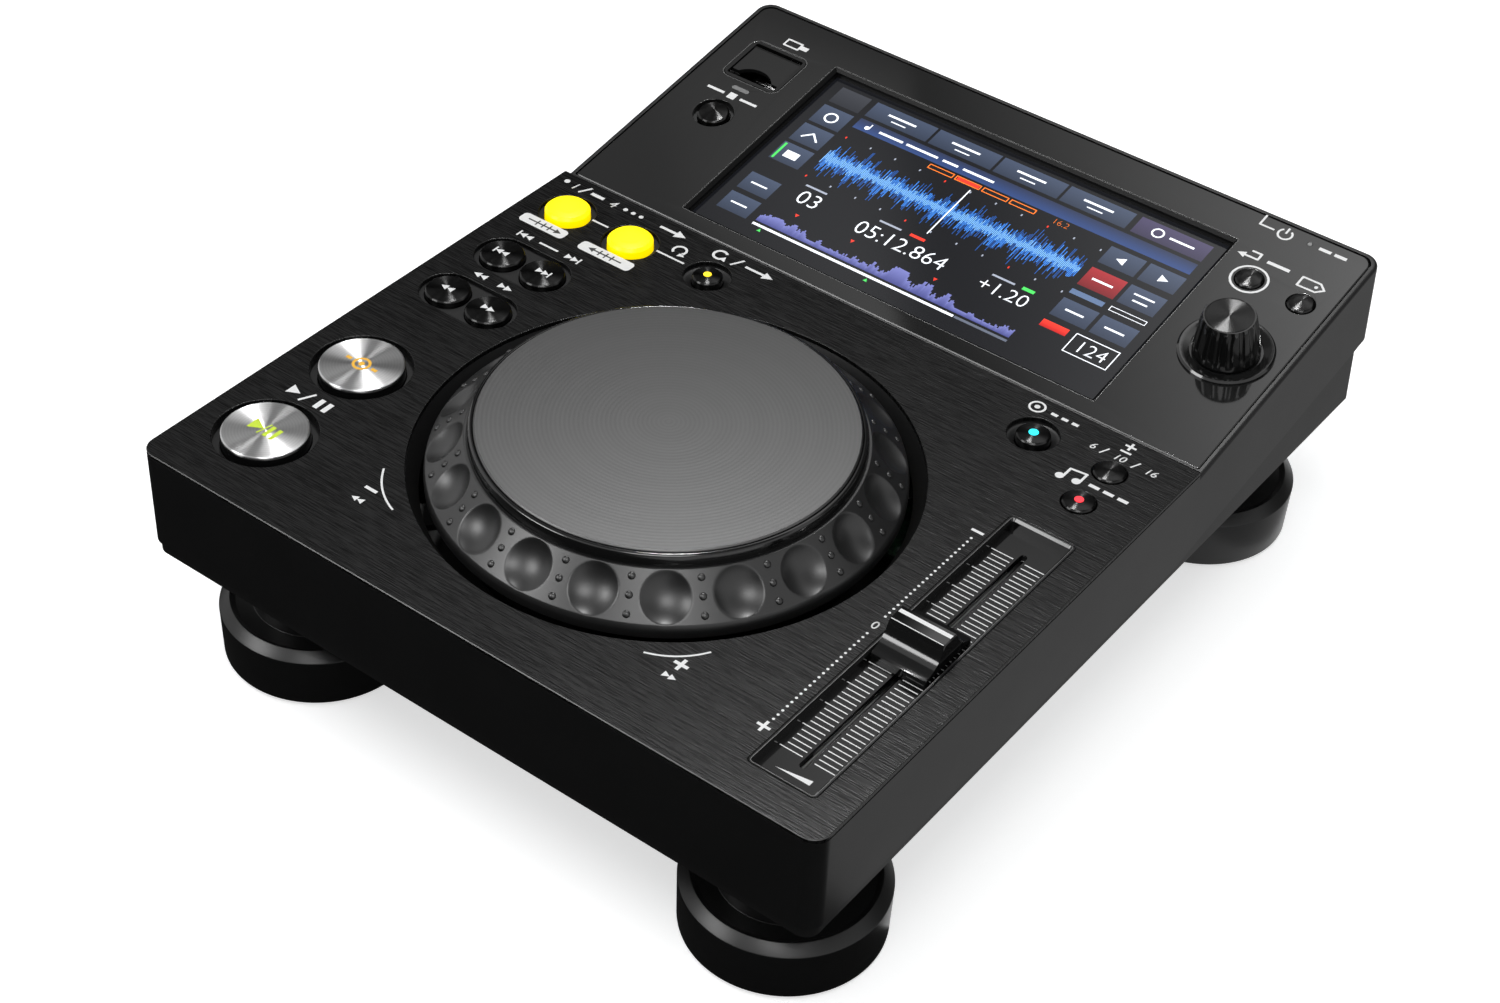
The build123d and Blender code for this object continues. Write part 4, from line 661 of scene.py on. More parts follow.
def graded_light(f):
    """Dark at the left, brighter to the right, with one upright edge."""
    x, y, z = f.parts(f.place())

    def ramp(value, low, high):
        """0 below one value, 1 above the other, straight between."""
        return ((value - low) * (1 / (high - low))).clamped()

    right_side = (ramp(x, -1.45, -0.6).math("POWER", 1.6)
                  * ramp(z, 1.25, 2.2).math("POWER", 1.4) * 2.3)
    right_light = right_side * (1.0 - ramp(x, -0.3, 0.8) * 0.6) + 0.06
    left_light = (ramp(z, 2.0, 2.25) * 0.29 + ramp(x, -1.9, -1.45) * ramp(z, 2.1, 2.8) * 0.75
                  + 0.05)
    edge = (x + (z - 2.15) * 0.167).above(-1.33)
    return edge * right_light + (1.0 - edge) * left_light


def reflector(name, low, high, level):
    """A flat or upright card that only glossy surfaces see; one without a level is graded."""
    (x0, y0, z0), (x1, y1, z1) = low, high
    mesh = bpy.data.meshes.new(name)
    mesh.from_pydata([(x0, y0, z0), (x1, y0, z0), (x1, y1, z1), (x0, y1, z1)], [],
                     [(0, 1, 2, 3)])
    card = placed(name, mesh)
    f = Finish(name)
    light = graded_light(f) if level is None else rgba(grey(level))
    set_material(card, f.done(f.node("ShaderNodeEmission", {}, Color=light)))
    for rays in ("camera", "diffuse", "shadow", "transmission", "volume_scatter"):
        setattr(card, "visible_" + rays, False)


def studio():
    bpy.context.scene.view_settings.view_transform = "Standard"
    studio_camera()
    studio_room()
    studio_floor()
    for lamp in (("overhead", (-0.1, -0.5, 1.7), (0, 0, 0), (1.6, 1.2), 17),
                 ("right_gloss", (0.75, -1.15, 2.1), (0, 0, 0.08), (1.2, 0.8), 24),
                 ("left_gloss", (-1.15, -1.6, 1.6), (0, 0, 0.08), (1.1, 0.8), 26),
                 ("key_gloss", (-0.61, 0.81, 2.36), (0, 0, 0.08), (0.34, 0.14), 34)):
        softbox(*lamp)
    for card in (("graded_card", (-4.5, 1.6, 0.1), (2.5, 1.6, 6), None),
                 ("ceiling_card", (-2.6, -1.0, 2.8), (2.6, 1.2, 2.8), 0.2),
                 ("front_flag", (-4, -2.4, 0.0), (1.6, -2.4, 1.7), 0.05),
                 ("front_card", (-1.6, -2.2, 0.001), (0.4, -0.1, 0.001), 0.02),
                 ("left_card", (-2.2, -0.1, 0.001), (-0.05, 1.4, 0.001), 0.03),
                 ("side_card", (0.121, -0.099, 0.001), (1.2, 1.2, 0.001), 0.45)):
        reflector(*card)


# ------------------------------------------------------------------ printed marks
class Ink:
    """Flat marks on one surface, each a thin raised film of ink."""

    weight = 0.04             # how far the figures' edges are moved out

    def __init__(self, place, lift=0.004, thick=0.03):
        self.place, self.lift, self.thick = place, lift, thick
        self.count = 0
        self.bm = bmesh.new()

    def film(self, outline):
        """One closed outline in millimetres, a hair above the one before it."""
        low = self.lift + 0.0015 * (self.count % 5)
        self.count += 1
        rings = [[self.bm.verts.new((x * MM, y * MM, z * MM)) for x, y in outline]
                 for z in (low, low + self.thick)]
        self.bm.faces.new(rings[1])
        self.bm.faces.new(rings[0][::-1])
        join_rings(self.bm, rings, closed=False)

    def disc(self, x, y, radius):
        self.film(circle(x, y, radius, 24))

    def box(self, x0, y0, x1, y1, radius=0.0):
        self.film(rounded(x0, y0, x1, y1, radius, 5) if radius else corners(x0, y0, x1, y1))

    def bar(self, x, y, half_x, half_y):
        """A box about its middle."""
        self.box(x - half_x, y - half_y, x + half_x, y + half_y)

    def stroke(self, points, width, closed=False):
        """A line of one width along points, with square ends."""
        for a, b in zip(points, points[1:] + (points[:1] if closed else [])):
            a, b = Vector(a), Vector(b)
            along = (b - a).normalized() * width / 2
            side = Vector((-along.y, along.x))
            a, b = a - along * 0.5, b + along * 0.5
            self.film([a - side, b - side, b + side, a + side])

    def dash(self, x0, x1, y, width):
        self.stroke([(x0, y), (x1, y)], width)

    def outline(self, x0, y0, x1, y1, width):
        self.stroke(corners(x0, y0, x1, y1), width, True)

    def arc(self, x, y, radius, start, end, width):
        """Part of a ring from one angle to another, in degrees."""
        steps = max(6, int(abs(end - start) / 6))
        inner, outer = (bow(x, y, radius + side * width / 2, radians(start), radians(end), steps)
                        for side in (-1, 1))
        for k in range(steps):
            self.film([outer[k], outer[k + 1], inner[k + 1], inner[k]])

    def ring(self, x, y, radius, width):
        self.arc(x, y, radius, 0, 360, width)

    def triangle(self, x, y, size, turn=0.0):
        """An arrowhead that points along its turn."""
        self.film([(x + size * cos(radians(turn + a)), y + size * sin(radians(turn + a)))
                   for a in (0, 125, 235)])

    def plus(self, x, y, size, width):
        self.bar(x, y, size, width / 2)
        self.bar(x, y, width / 2, size)

    def skip(self, x, y, size, turn=0.0, slow=False):
        """Two arrowheads, with a bar in front of them for a track's start or end."""
        ahead = 1 if turn == 0 else -1
        for step in (-0.55, 0.45):
            self.triangle(x + ahead * step * size * 1.3, y, size * 0.85, turn)
        if not slow:
            self.bar(x + ahead * size * 1.55, y, size * 0.16, size * 0.8)

    def number(self, text, x, y, height, slant=0.18):
        """Plain figures, centred on x with their foot on y."""
        curve = bpy.data.curves.new("figures", "FONT")
        curve.body = text
        curve.size = height * 1.38 * MM
        curve.shear = slant
        curve.align_x = "CENTER"
        curve.resolution_u = 3
        curve.offset = self.weight * MM
        holder = placed("figures", curve)
        bpy.context.view_layer.update()
        mesh = mesh_of(holder)
        bpy.data.objects.remove(holder)
        mesh.transform(Matrix.Translation((x * MM, y * MM, (self.lift + self.thick) * MM)))
        flat = bmesh.new()
        flat.from_mesh(mesh)
        bmesh.ops.remove_doubles(flat, verts=flat.verts, dist=same_point)
        for face in flat.faces:
            if face.normal.z < 0:
                face.normal_flip()
        skirt = bmesh.ops.extrude_face_region(flat, geom=flat.faces[:])
        moved = [v for v in skirt["geom"] if isinstance(v, bmesh.types.BMVert)]
        bmesh.ops.translate(flat, verts=moved, vec=(0, 0, -self.thick * MM))
        bmesh.ops.recalc_face_normals(flat, faces=flat.faces)
        flat.to_mesh(mesh)
        flat.free()
        self.bm.from_mesh(mesh)
        bpy.data.meshes.remove(mesh)

    def made(self, name, material, node, slot=None):
        """The marks as one piece that goes with a node."""
        bmesh.ops.transform(self.bm, matrix=self.place, verts=self.bm.verts)
        finish_piece(object_from(self.bm, name, material), node)


# ------------------------------------------------------------------ jog wheel
cone_low = Vector((69.2, 0.5))
cone_high = Vector((58.0, 11.0))
cone_slant = (cone_high - cone_low).length
cone_mid = (cone_low + cone_high) / 2
out_r, out_z = (cone_high.y - cone_low.y) / cone_slant, (cone_low.x - cone_high.x) / cone_slant
dimple_count = 20
dimple_turn = 2.0
dimple_radius = 7.4
dimple_depth = 2.3
ball_radius = (dimple_radius ** 2 + dimple_depth ** 2) / (2 * dimple_depth)
rim_radius = 57.1
platter_radius = 55.24
platter_top = 15.1


def make_jog_dial():
    """The dial ring: a turned shell whose cone takes ball-shaped finger dimples and pips."""
    rows = 44
    shell = ([(69.6, -3.6), (69.6, -1.15), (69.55, -1.0)]
             + [tuple(cone_low.lerp(cone_high, k / rows)) for k in range(rows + 1)]
             + [(57.8, 11.0), (54.7, 11.0), (54.7, 9.2), (49.0, 8.6), (49.0, 5.6),
                (54.2, 5.6), (64.9, -3.6)])
    plain = turned("plain_dial", shell, Matrix(), None, 1080, 0)
    rule = Rule("jog_dial_skin")
    count = rule.size("Dimples", dimple_count)
    first = rule.size("First Dimple", radians(dimple_turn))
    ball = rule.size("Ball Radius", ball_radius * MM)
    reach = rule.size("Ball Reach", (ball_radius - dimple_depth) * MM)
    mid_r, mid_z = cone_mid * MM
    x, y, z = rule.parts(rule.node("GeometryNodeInputPosition"))
    radius = (x * x + y * y).root()
    pitch = 2 * pi / count
    near = ((y.math("ARCTAN2", x) - first + pitch * 0.5).math("FLOORED_MODULO", pitch)
            - pitch * 0.5)
    ball_r = reach * out_r + mid_r
    rise = z - (reach * out_z + mid_z)
    apart = near.cosine()
    toward = (radius - ball_r * apart) * out_r + rise * out_z
    beyond = (radius * radius + ball_r * ball_r - radius * ball_r * apart * 2 + rise * rise
              - ball * ball)
    on_cone = radius.above((cone_high.x - 0.1) * MM) * z.above((cone_low.y - 0.1) * MM)
    sink = (toward + (toward * toward - beyond).at_least(0.0).root()).at_least(0.0) * on_cone
    shift = rule.vector(x / radius * sink * -out_r, y / radius * sink * -out_r, sink * -out_z)
    dimpled = rule.node("GeometryNodeSetPosition", {}, Geometry=rule.entered("Geometry"),
                        Offset=shift)

    # three pips between neighbouring dimples
    in_row = rule.size("Pips In A Row", 3)
    pip_size = rule.size("Pip Radius", 1.1 * MM)
    pip_pitch = rule.size("Pip Pitch", 0.34 * cone_slant * MM)
    index = rule.node("GeometryNodeInputIndex")
    row = (index / in_row).math("FLOOR")
    turn = (row + 0.5) * pitch + first
    along = (index - row * in_row - 1.0) * pip_pitch
    pip_r = along * -out_z + mid_r
    where = rule.vector(turn.cosine() * pip_r, turn.sine() * pip_r, along * out_r + mid_z)
    points = rule.node("GeometryNodeSetPosition", {}, Position=where, Geometry=rule.node(
        "GeometryNodeMeshLine", {}, Count=count * in_row))
    dome = rule.node("GeometryNodeMeshUVSphere", {}, Segments=20, Rings=12, Radius=pip_size)
    lean = rule.vector(0.0, pi / 2 - asin(out_z), turn)
    pips = rule.node("GeometryNodeInstanceOnPoints", {}, Points=points, Instance=dome,
                     Rotation=lean, Scale=(1.0, 1.0, 0.55))
    smooth_pips = rule.node("GeometryNodeSetShadeSmooth", {},
                            Geometry=rule.node("GeometryNodeRealizeInstances", {}, pips))
    dial = rule.run(rule.join(dimpled, smooth_pips), finishes["dial_black"], plain)
    dial.data.transform(jog_place)
    smooth(dial, 50)
    finish_piece(dial, "jog_dial", replaces=True)


def make_jog_top():
    low, inner = platter_top - 2.2, platter_radius + 0.25
    for node, profile, radius in (
            ("jog_rim", [(54.8, 11.0), (57.4, 11.0), (rim_radius, 12.8), (rim_radius - 0.4, 14.2),
                         (rim_radius - 1.0, 14.6), (inner, 14.6), (inner, 12.6),
                         (54.8, 12.0)], 0.3),
            ("jog_platter", [(0, low), (platter_radius, low), (platter_radius, platter_top - 0.45),
                             (platter_radius - 0.45, platter_top), (0, platter_top)], 0.08)):
        slot = node_slots[node]
        piece = turned(node + "_skin", profile, jog_place, finishes[slot], 256, radius)
        finish_piece(piece, node, replaces=True)


# ------------------------------------------------------------------ keys
key_flange = 0.8
key_stem = 2.2
flange_low, flange_high = -5.4, -4.4


def key_place(node):
    """A key's place on its own surface, its cap's radius, and its foot's and top's heights."""
    base = panel if middle_of(node).y > deck_high.y else deck
    local = base.inverted()
    points = np.array([local @ v.co for v in frame["nodes"][node].data.vertices]) / MM
    low, high = points.min(0), points.max(0)
    x, y, _ = (low + high) / 2
    return place_on(base, x, y), (high[0] - low[0]) / 2 - key_flange, low[2], high[2]


def make_key(node, material, edge=0.5, dome=0.3, face=None):
    """A key's cap on its stem; one with a face has a turned metal disc over a black body."""
    place, radius, low, top = key_place(node)
    wide, rim, cap_top = radius + key_flange, radius - 0.15, top
    if face:
        cap_top = top - 0.3
        disc = turned(node + "_face", [(0, top - 0.6), (rim, top - 0.6), (rim, top - 0.32),
                                       (radius - 0.55, top - 0.04), (0, top)],
                      place, face, 128, 0.06)
        finish_piece(disc, node)
    cap = turned(node + "_skin", [
        (0, low), (key_stem, low), (key_stem, flange_low), (wide, flange_low),
        (wide, flange_high), (radius, flange_high), (radius, cap_top - edge - dome),
        (radius - edge, cap_top - dome), (radius * 0.55, cap_top - dome / 3),
        (0, cap_top)], place, material, 96, 0.22)
    finish_piece(cap, node, replaces=True)
    return place_on(place, 0, 0, top)


def make_keys():
    for node in ("play_button", "cue_button"):
        metal = spun_metal(node + "_spun", middle_of(node), 0.62, 0.0009, 0.34, 1.0)
        mark = Ink(make_key(node, finishes["button_black"], 0.6, 0.15, face=metal))
        if node == "play_button":
            ink = print_ink("green_ink", from_display(196, 222, 20), 0.15)
            mark.triangle(-3.4, 0, 3.0)
            for x in (1.6, 4.2):
                mark.bar(x, 0, 0.7, 2.5)
            mark.stroke([(-0.9, -2.6), (0.2, 2.6)], 0.5)
        else:
            ink = print_ink("amber_ink", from_display(238, 178, 30), 0.15)
            mark.ring(0, 0, 2.5, 0.9)
            mark.disc(0, 0, 1.0)
            for x in (-5.0, 5.0):
                mark.bar(x, 0, 1.0, 0.6)
        mark.made(node.replace("button", "mark"), ink, node, "lens_clear")
    for node in ("loop_in_button", "loop_out_button"):
        make_key(node, lit_key(node + "_glow", middle_of(node)), 1.0, 0.5)
    skips = {"track_back_button": (180, False), "track_next_button": (0, False),
             "search_back_button": (180, True), "search_next_button": (0, True)}
    lamps = {"reloop_button": ("yellow", (255, 214, 0), 1.3),
             "vinyl_mode_button": ("cyan", (0, 226, 240), 1.5), "tempo_range_button": None,
             "master_tempo_button": ("red", (236, 28, 44), 1.4), "usb_stop_button": None,
             "back_button": None, "tag_button": None}
    for node in (*skips, *lamps):
        top = make_key(node, spun_black(node + "_lacquer", middle_of(node)))
        if node in skips:
            mark = Ink(top)
            mark.skip(0, 0, 1.8, *skips[node])
            mark.made(node.replace("button", "mark"), white_ink, node)
        elif lamps[node]:
            name, colour, size = lamps[node]
            lamp = Ink(top, -0.02, 0.1)
            lamp.disc(0, 0, size)
            lamp.made(node.replace("button", "lamp"),
                      print_ink(name + "_lamp", from_display(*colour), 1.2), node, "lens_clear")


# ------------------------------------------------------------------ feet
def make_feet():
    for node in ("foot_front_left", "foot_front_right", "foot_rear_left", "foot_rear_right"):
        x, y, _ = middle_of(node)
        foot = turned(node + "_skin", [
            (27.5, 0.8), (28.9, 0.8), (29.7, 1.6), (30.0, 17.6), (26.7, 20.3), (25.1, 19.3),
            (20.0, 19.3), (20.0, 43.0), (2.2, 43.0), (2.2, 40.0), (4.6, 40.0), (4.6, 10.0),
            (14.0, 6.0), (14.0, 0.8), (17.0, 0.8), (17.0, 2.0), (27.5, 2.0)],
            Matrix.Translation((x, y, 0)), finishes["foot_black"], 192)
        finish_piece(foot, node, replaces=True)


# ------------------------------------------------------------------ flat plates
recess = {"play_button": 15.45, "cue_button": 15.45, "loop_in_button": 9.3,
          "loop_out_button": 9.3, "reloop_button": 7.7, "vinyl_mode_button": 7.9,
          "tempo_range_button": 5.3, "master_tempo_button": 5.3, "usb_stop_button": 7.0,
          "back_button": 4.7, "tag_button": 4.6}
pair_recess = 9.0             # ends of the long opening round two skip keys
jog_opening = 74.7
fader_opening = (10.9, 62.35)


def key_at(base, node):
    """Where a key stands, in its own surface's millimetres."""
    local = base.inverted() @ key_place(node)[0].translation
    return local.x / MM, local.y / MM


def recesses(base):
    """The round openings for the keys of one surface."""
    return [circle(*key_at(base, node), radius) for node, radius in recess.items()
            if (middle_of(node).y > deck_high.y) == (base is panel)]


def rectangle(inset, rear, radii):
    """The deck plate's outline, moved in from its sides and front, and from its rear edge."""
    return rounded(inset, inset, case_width - inset, deck_depth - rear, radii)


def make_deck_plate():
    outlines = [rectangle(0.12, 0, (5.38, 5.38, 0.3, 0.3)), circle(jog_x, jog_y, jog_opening, 256),
                around(fader_mid, fader_opening, 1.6), *recesses(deck)]
    for kind in ("track", "search"):
        x0, y = key_at(deck, kind + "_back_button")
        x1, _ = key_at(deck, kind + "_next_button")
        outlines.append(bow(x1, y, pair_recess, -pi / 2, pi / 2, 24)
                        + bow(x0, y, pair_recess, pi / 2, 1.5 * pi, 24))
    plate = cut_sheet("deck_plate_skin", outlines, 1.5, 0.3, deck, finishes["deck_black"])
    finish_piece(plate, "deck_plate", replaces=True)
    # sides and front of the plate get a sloping facet in lighter metal: a painted highlight line along the edge
    outer = rectangle(0, 0, (5.5, 5.5, 0.45, 0.45))
    inner = rectangle(0.22, 0.22, (5.28, 5.28, 0.23, 0.23))
    sides_and_front = [len(outer) - 1, *range(len(outer) // 2 + 1)]
    edge_line("deck_edge", outer, inner, 0.22, deck, "deck_plate", sides_and_front)


def make_display_panel():
    def face(out, front, rear):
        """The plate's outline, moved out by a little, with its front and rear corner radii."""
        return rounded(2.5 - out, 3.0 - out, case_width - 2.5 + out, panel_length - 2.5 + out,
                       (front, front, rear, rear))

    window = tuple(half + screen_bevel for half in screen_half)
    outlines = [face(0, 0.8, 4.0), around(screen_mid, window, 0.4),
                around(bay_mid, (11.2, 10.25), 3.2), circle(*knob_mid, 4.8),
                around((21.9, 66.5), (3.5, 0.85), 0.84),
                circle(case_width - 22.4, panel_length - 6.6, 0.8, 32), *recesses(panel)]
    plate = cut_sheet("display_panel_skin", outlines, 2.0, 0.18, panel, finishes["panel_gloss"])
    finish_piece(plate, "display_panel", replaces=True)
    # a lighter metal facet round the panel's outline: a painted highlight line along its edge
    edge_line("panel_edge", face(0.22, 1.02, 4.22), face(-0.1, 0.7, 3.9), 0.25, panel,
              "display_panel")
    # thin strokes of lighter metal round the screen window and the bay: painted highlight lines on their edges
    rims = Ink(panel)
    rims.stroke(around(screen_mid, (window[0] + 0.35, window[1] + 0.35), 0.6), 0.16, True)
    rims.stroke(around(bay_mid, (11.6, 10.65), 3.6), 0.3, True)
    rims.made("panel_rim_highlights", finishes["edge_highlight_metal"], "display_panel")
    # sloping frame from the plate's face down to the screen
    slope = bmesh.new()
    u, v = screen_mid
    join_rings(slope, [[slope.verts.new((x * MM, y * MM, w * MM))
                        for x, y in corners(u - half_u, v - half_v, u + half_u, v + half_v)]
                       for (half_u, half_v), w in ((window, -0.02), (screen_half, -screen_bevel),
                                                   (screen_half, -2.0), (window, -2.0))])
    finish_piece(object_from(slope, "screen_slope", finishes["slope_black"], 20, panel),
                 "display_panel")


# ------------------------------------------------------------------ tempo fader
def scale_ticks():
    """The fader bed's scale: a tick every 2 mm on both sides of the slot, long ones every 10."""
    rule = Rule("fader_scale")
    count = rule.size("Ticks", 51)
    pitch, long_end, short_end, inner, width = (rule.size(name, value * MM) for name, value in (
        ("Tick Pitch", 1.99), ("Long Tick End", 9.2), ("Short Tick End", 8.0),
        ("Inner End", 1.9), ("Tick Width", 0.34)))
    line = rule.node("GeometryNodeMeshLine", {}, Count=count, Offset=rule.vector(0.0, pitch, 0.0),
                     Start_Location=place_on(deck, fader_x, 24.9, -3.19).translation)
    short = rule.node("GeometryNodeInputIndex").math("FLOORED_MODULO", 5.0).above(0.5)
    sides = []
    for side in (-1, 1):
        for keep, end in ((1.0 - short, long_end), (short, short_end)):
            tick = rule.node("GeometryNodeMeshCube", {},
                             Size=rule.vector(end - inner, width, 0.03 * MM))
            beside = rule.node("GeometryNodeTransform", {}, Geometry=tick,
                               Translation=rule.vector((end + inner) * 0.5 * side, 0.0, 0.0))
            sides.append(rule.node("GeometryNodeInstanceOnPoints", {}, Points=line,
                                   Selection=keep, Instance=beside))
    finish_piece(rule.run(rule.join(*sides), white_ink), "fader_bezel")


def scale_dots():
    """Dotted scale beside the fader, in two runs with a gap at the middle figure."""
    rule = Rule("tempo_dots")
    pitch = rule.size("Dot Pitch", 2.0 * MM)
    dot = rule.node("GeometryNodeMeshCylinder", {}, Vertices=20, Depth=0.03 * MM,
                    Radius=rule.size("Dot Radius", 0.42 * MM))
    runs = []
    for name, y in (("Rear Dots", 79.0), ("Front Dots", 28.5)):
        line = rule.node("GeometryNodeMeshLine", {}, Count=rule.size(name, 22),
                         Start_Location=place_on(deck, fader_x - 14.1, y, 0.012).translation,
                         Offset=rule.vector(0.0, pitch, 0.0))
        runs.append(rule.node("GeometryNodeInstanceOnPoints", {}, Points=line, Instance=dot))
    finish_piece(rule.run(rule.join(*runs), white_ink), "deck_plate")


def make_fader_cap():
    """Fader cap: a ridge with a white line between two hollowed flanks."""
    low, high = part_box("fader_cap")
    half, ridge, rise, lip, wall, skirt = 10.93, 3.3, 7.6, 0.4, 1.2, -2.6
    steps = 14

    def flank(side):
        """Hollow from the ridge's shoulder down to the lip, through the saddle's low point."""
        a, b = Vector((ridge, rise - 0.7)), Vector((half, lip))
        c = Vector(((ridge + half) / 2 - 1.1, (rise + lip) / 2 - 1.5))
        bend = 2 * c - (a + b) / 2
        run = [a.lerp(bend, k / steps).lerp(bend.lerp(b, k / steps), k / steps)
               for k in range(steps + 1)]
        return [(side * p.x, p.y) for p in run]

    inside = half - wall
    profile = ([(-ridge + 0.5, rise), (ridge - 0.5, rise)] + flank(1)
               + [(half, skirt), (inside, skirt), (inside, 0.0), (-inside, 0.0),
                  (-inside, skirt), (-half, skirt)] + flank(-1)[::-1])
    width = (high.x - low.x) / 2
    bm = bmesh.new()
    ends = [[bm.verts.new((x, y * MM, z * MM)) for y, z in profile] for x in (-width, width)]
    rims = [bm.faces.new(ends[0]), bm.faces.new(ends[1][::-1])]
    join_rings(bm, ends, closed=False)
    bmesh.ops.bevel(bm, geom=[edge for rim in rims for edge in rim.edges], offset=0.35 * MM,
                    segments=3, profile=0.5, affect="EDGES")
    x, y, _ = (low + high) / 2
    base = Matrix.Translation((x, y, deck_high.z))
    cap = object_from(bm, "fader_cap_skin", finishes["fader_black"], 38, base)
    finish_piece(cap, "fader_cap", replaces=True)
    line = Ink(place_on(base, 0, 0, rise), 0.0, 0.04)
    # the wide bar is the cap's printed line; the thin bar along the ridge's front edge is a painted highlight
    line.bar(0, 1.0, 8.4, 0.7)
    line.bar(0, -3.0, 8.4, 0.15)
    line.made("fader_line_and_edge_highlight", white_ink, "fader_cap")


# ------------------------------------------------------------------ menu knob
def make_rotary_knob():
    """Fluted knob with a turned disc let into its top."""
    base = place_on(panel, *knob_mid)
    low, crown, top = 0.7, 13.0, 14.79
    skirt, waist, hollow = 10.4, 8.6, 8.8
    flutes, each, flute_radius, flute_out = 16, 14, 1.1, 0.45
    collar = low + 1.0
    rows = ([(3.05, 10.8), (3.05, low + 2.4), (hollow, low + 2.4), (hollow, low), (skirt, low),
             (skirt, collar)]
            + [(skirt + (waist - skirt) * k / 6, collar + (crown - collar) * k / 6)
               for k in range(1, 7)]
            + [(8.1, top - 0.2), (7.9, top), (7.5, top), (7.4, top - 0.15)])
    bm = bmesh.new()
    rings = []
    for radius, height in rows:
        ring = []
        for s in range(flutes * each):
            turn = 2 * pi * s / (flutes * each)
            across = ((s % each) / each - 0.5) * 2 * pi / flutes * radius
            r = radius
            if height > collar + 0.05 and radius > 8.0 and abs(across) < 1.0:
                r -= max(0.0, sqrt(flute_radius ** 2 - across ** 2) - flute_out)
            ring.append(bm.verts.new((r * MM * cos(turn), r * MM * sin(turn), height * MM)))
        rings.append(ring)
    rings.append([bm.verts.new((0, 0, (top - 0.15) * MM))])
    join_rings(bm, rings, closed=False)
    bm.faces.new(rings[0])
    knob = object_from(bm, "rotary_knob_skin", finishes["button_black"], 40, base)
    finish_piece(knob, "rotary_knob", replaces=True)
    lacquer = spun_black("knob_disc_lacquer", place_on(base, 0, 0, top).translation)
    face = turned("rotary_knob_disc", [(0, top - 0.14), (7.3, top - 0.14), (7.3, top - 0.04),
                                       (7.1, top), (0, top)], base, lacquer, 96, 0.03)
    finish_piece(face, "rotary_knob")


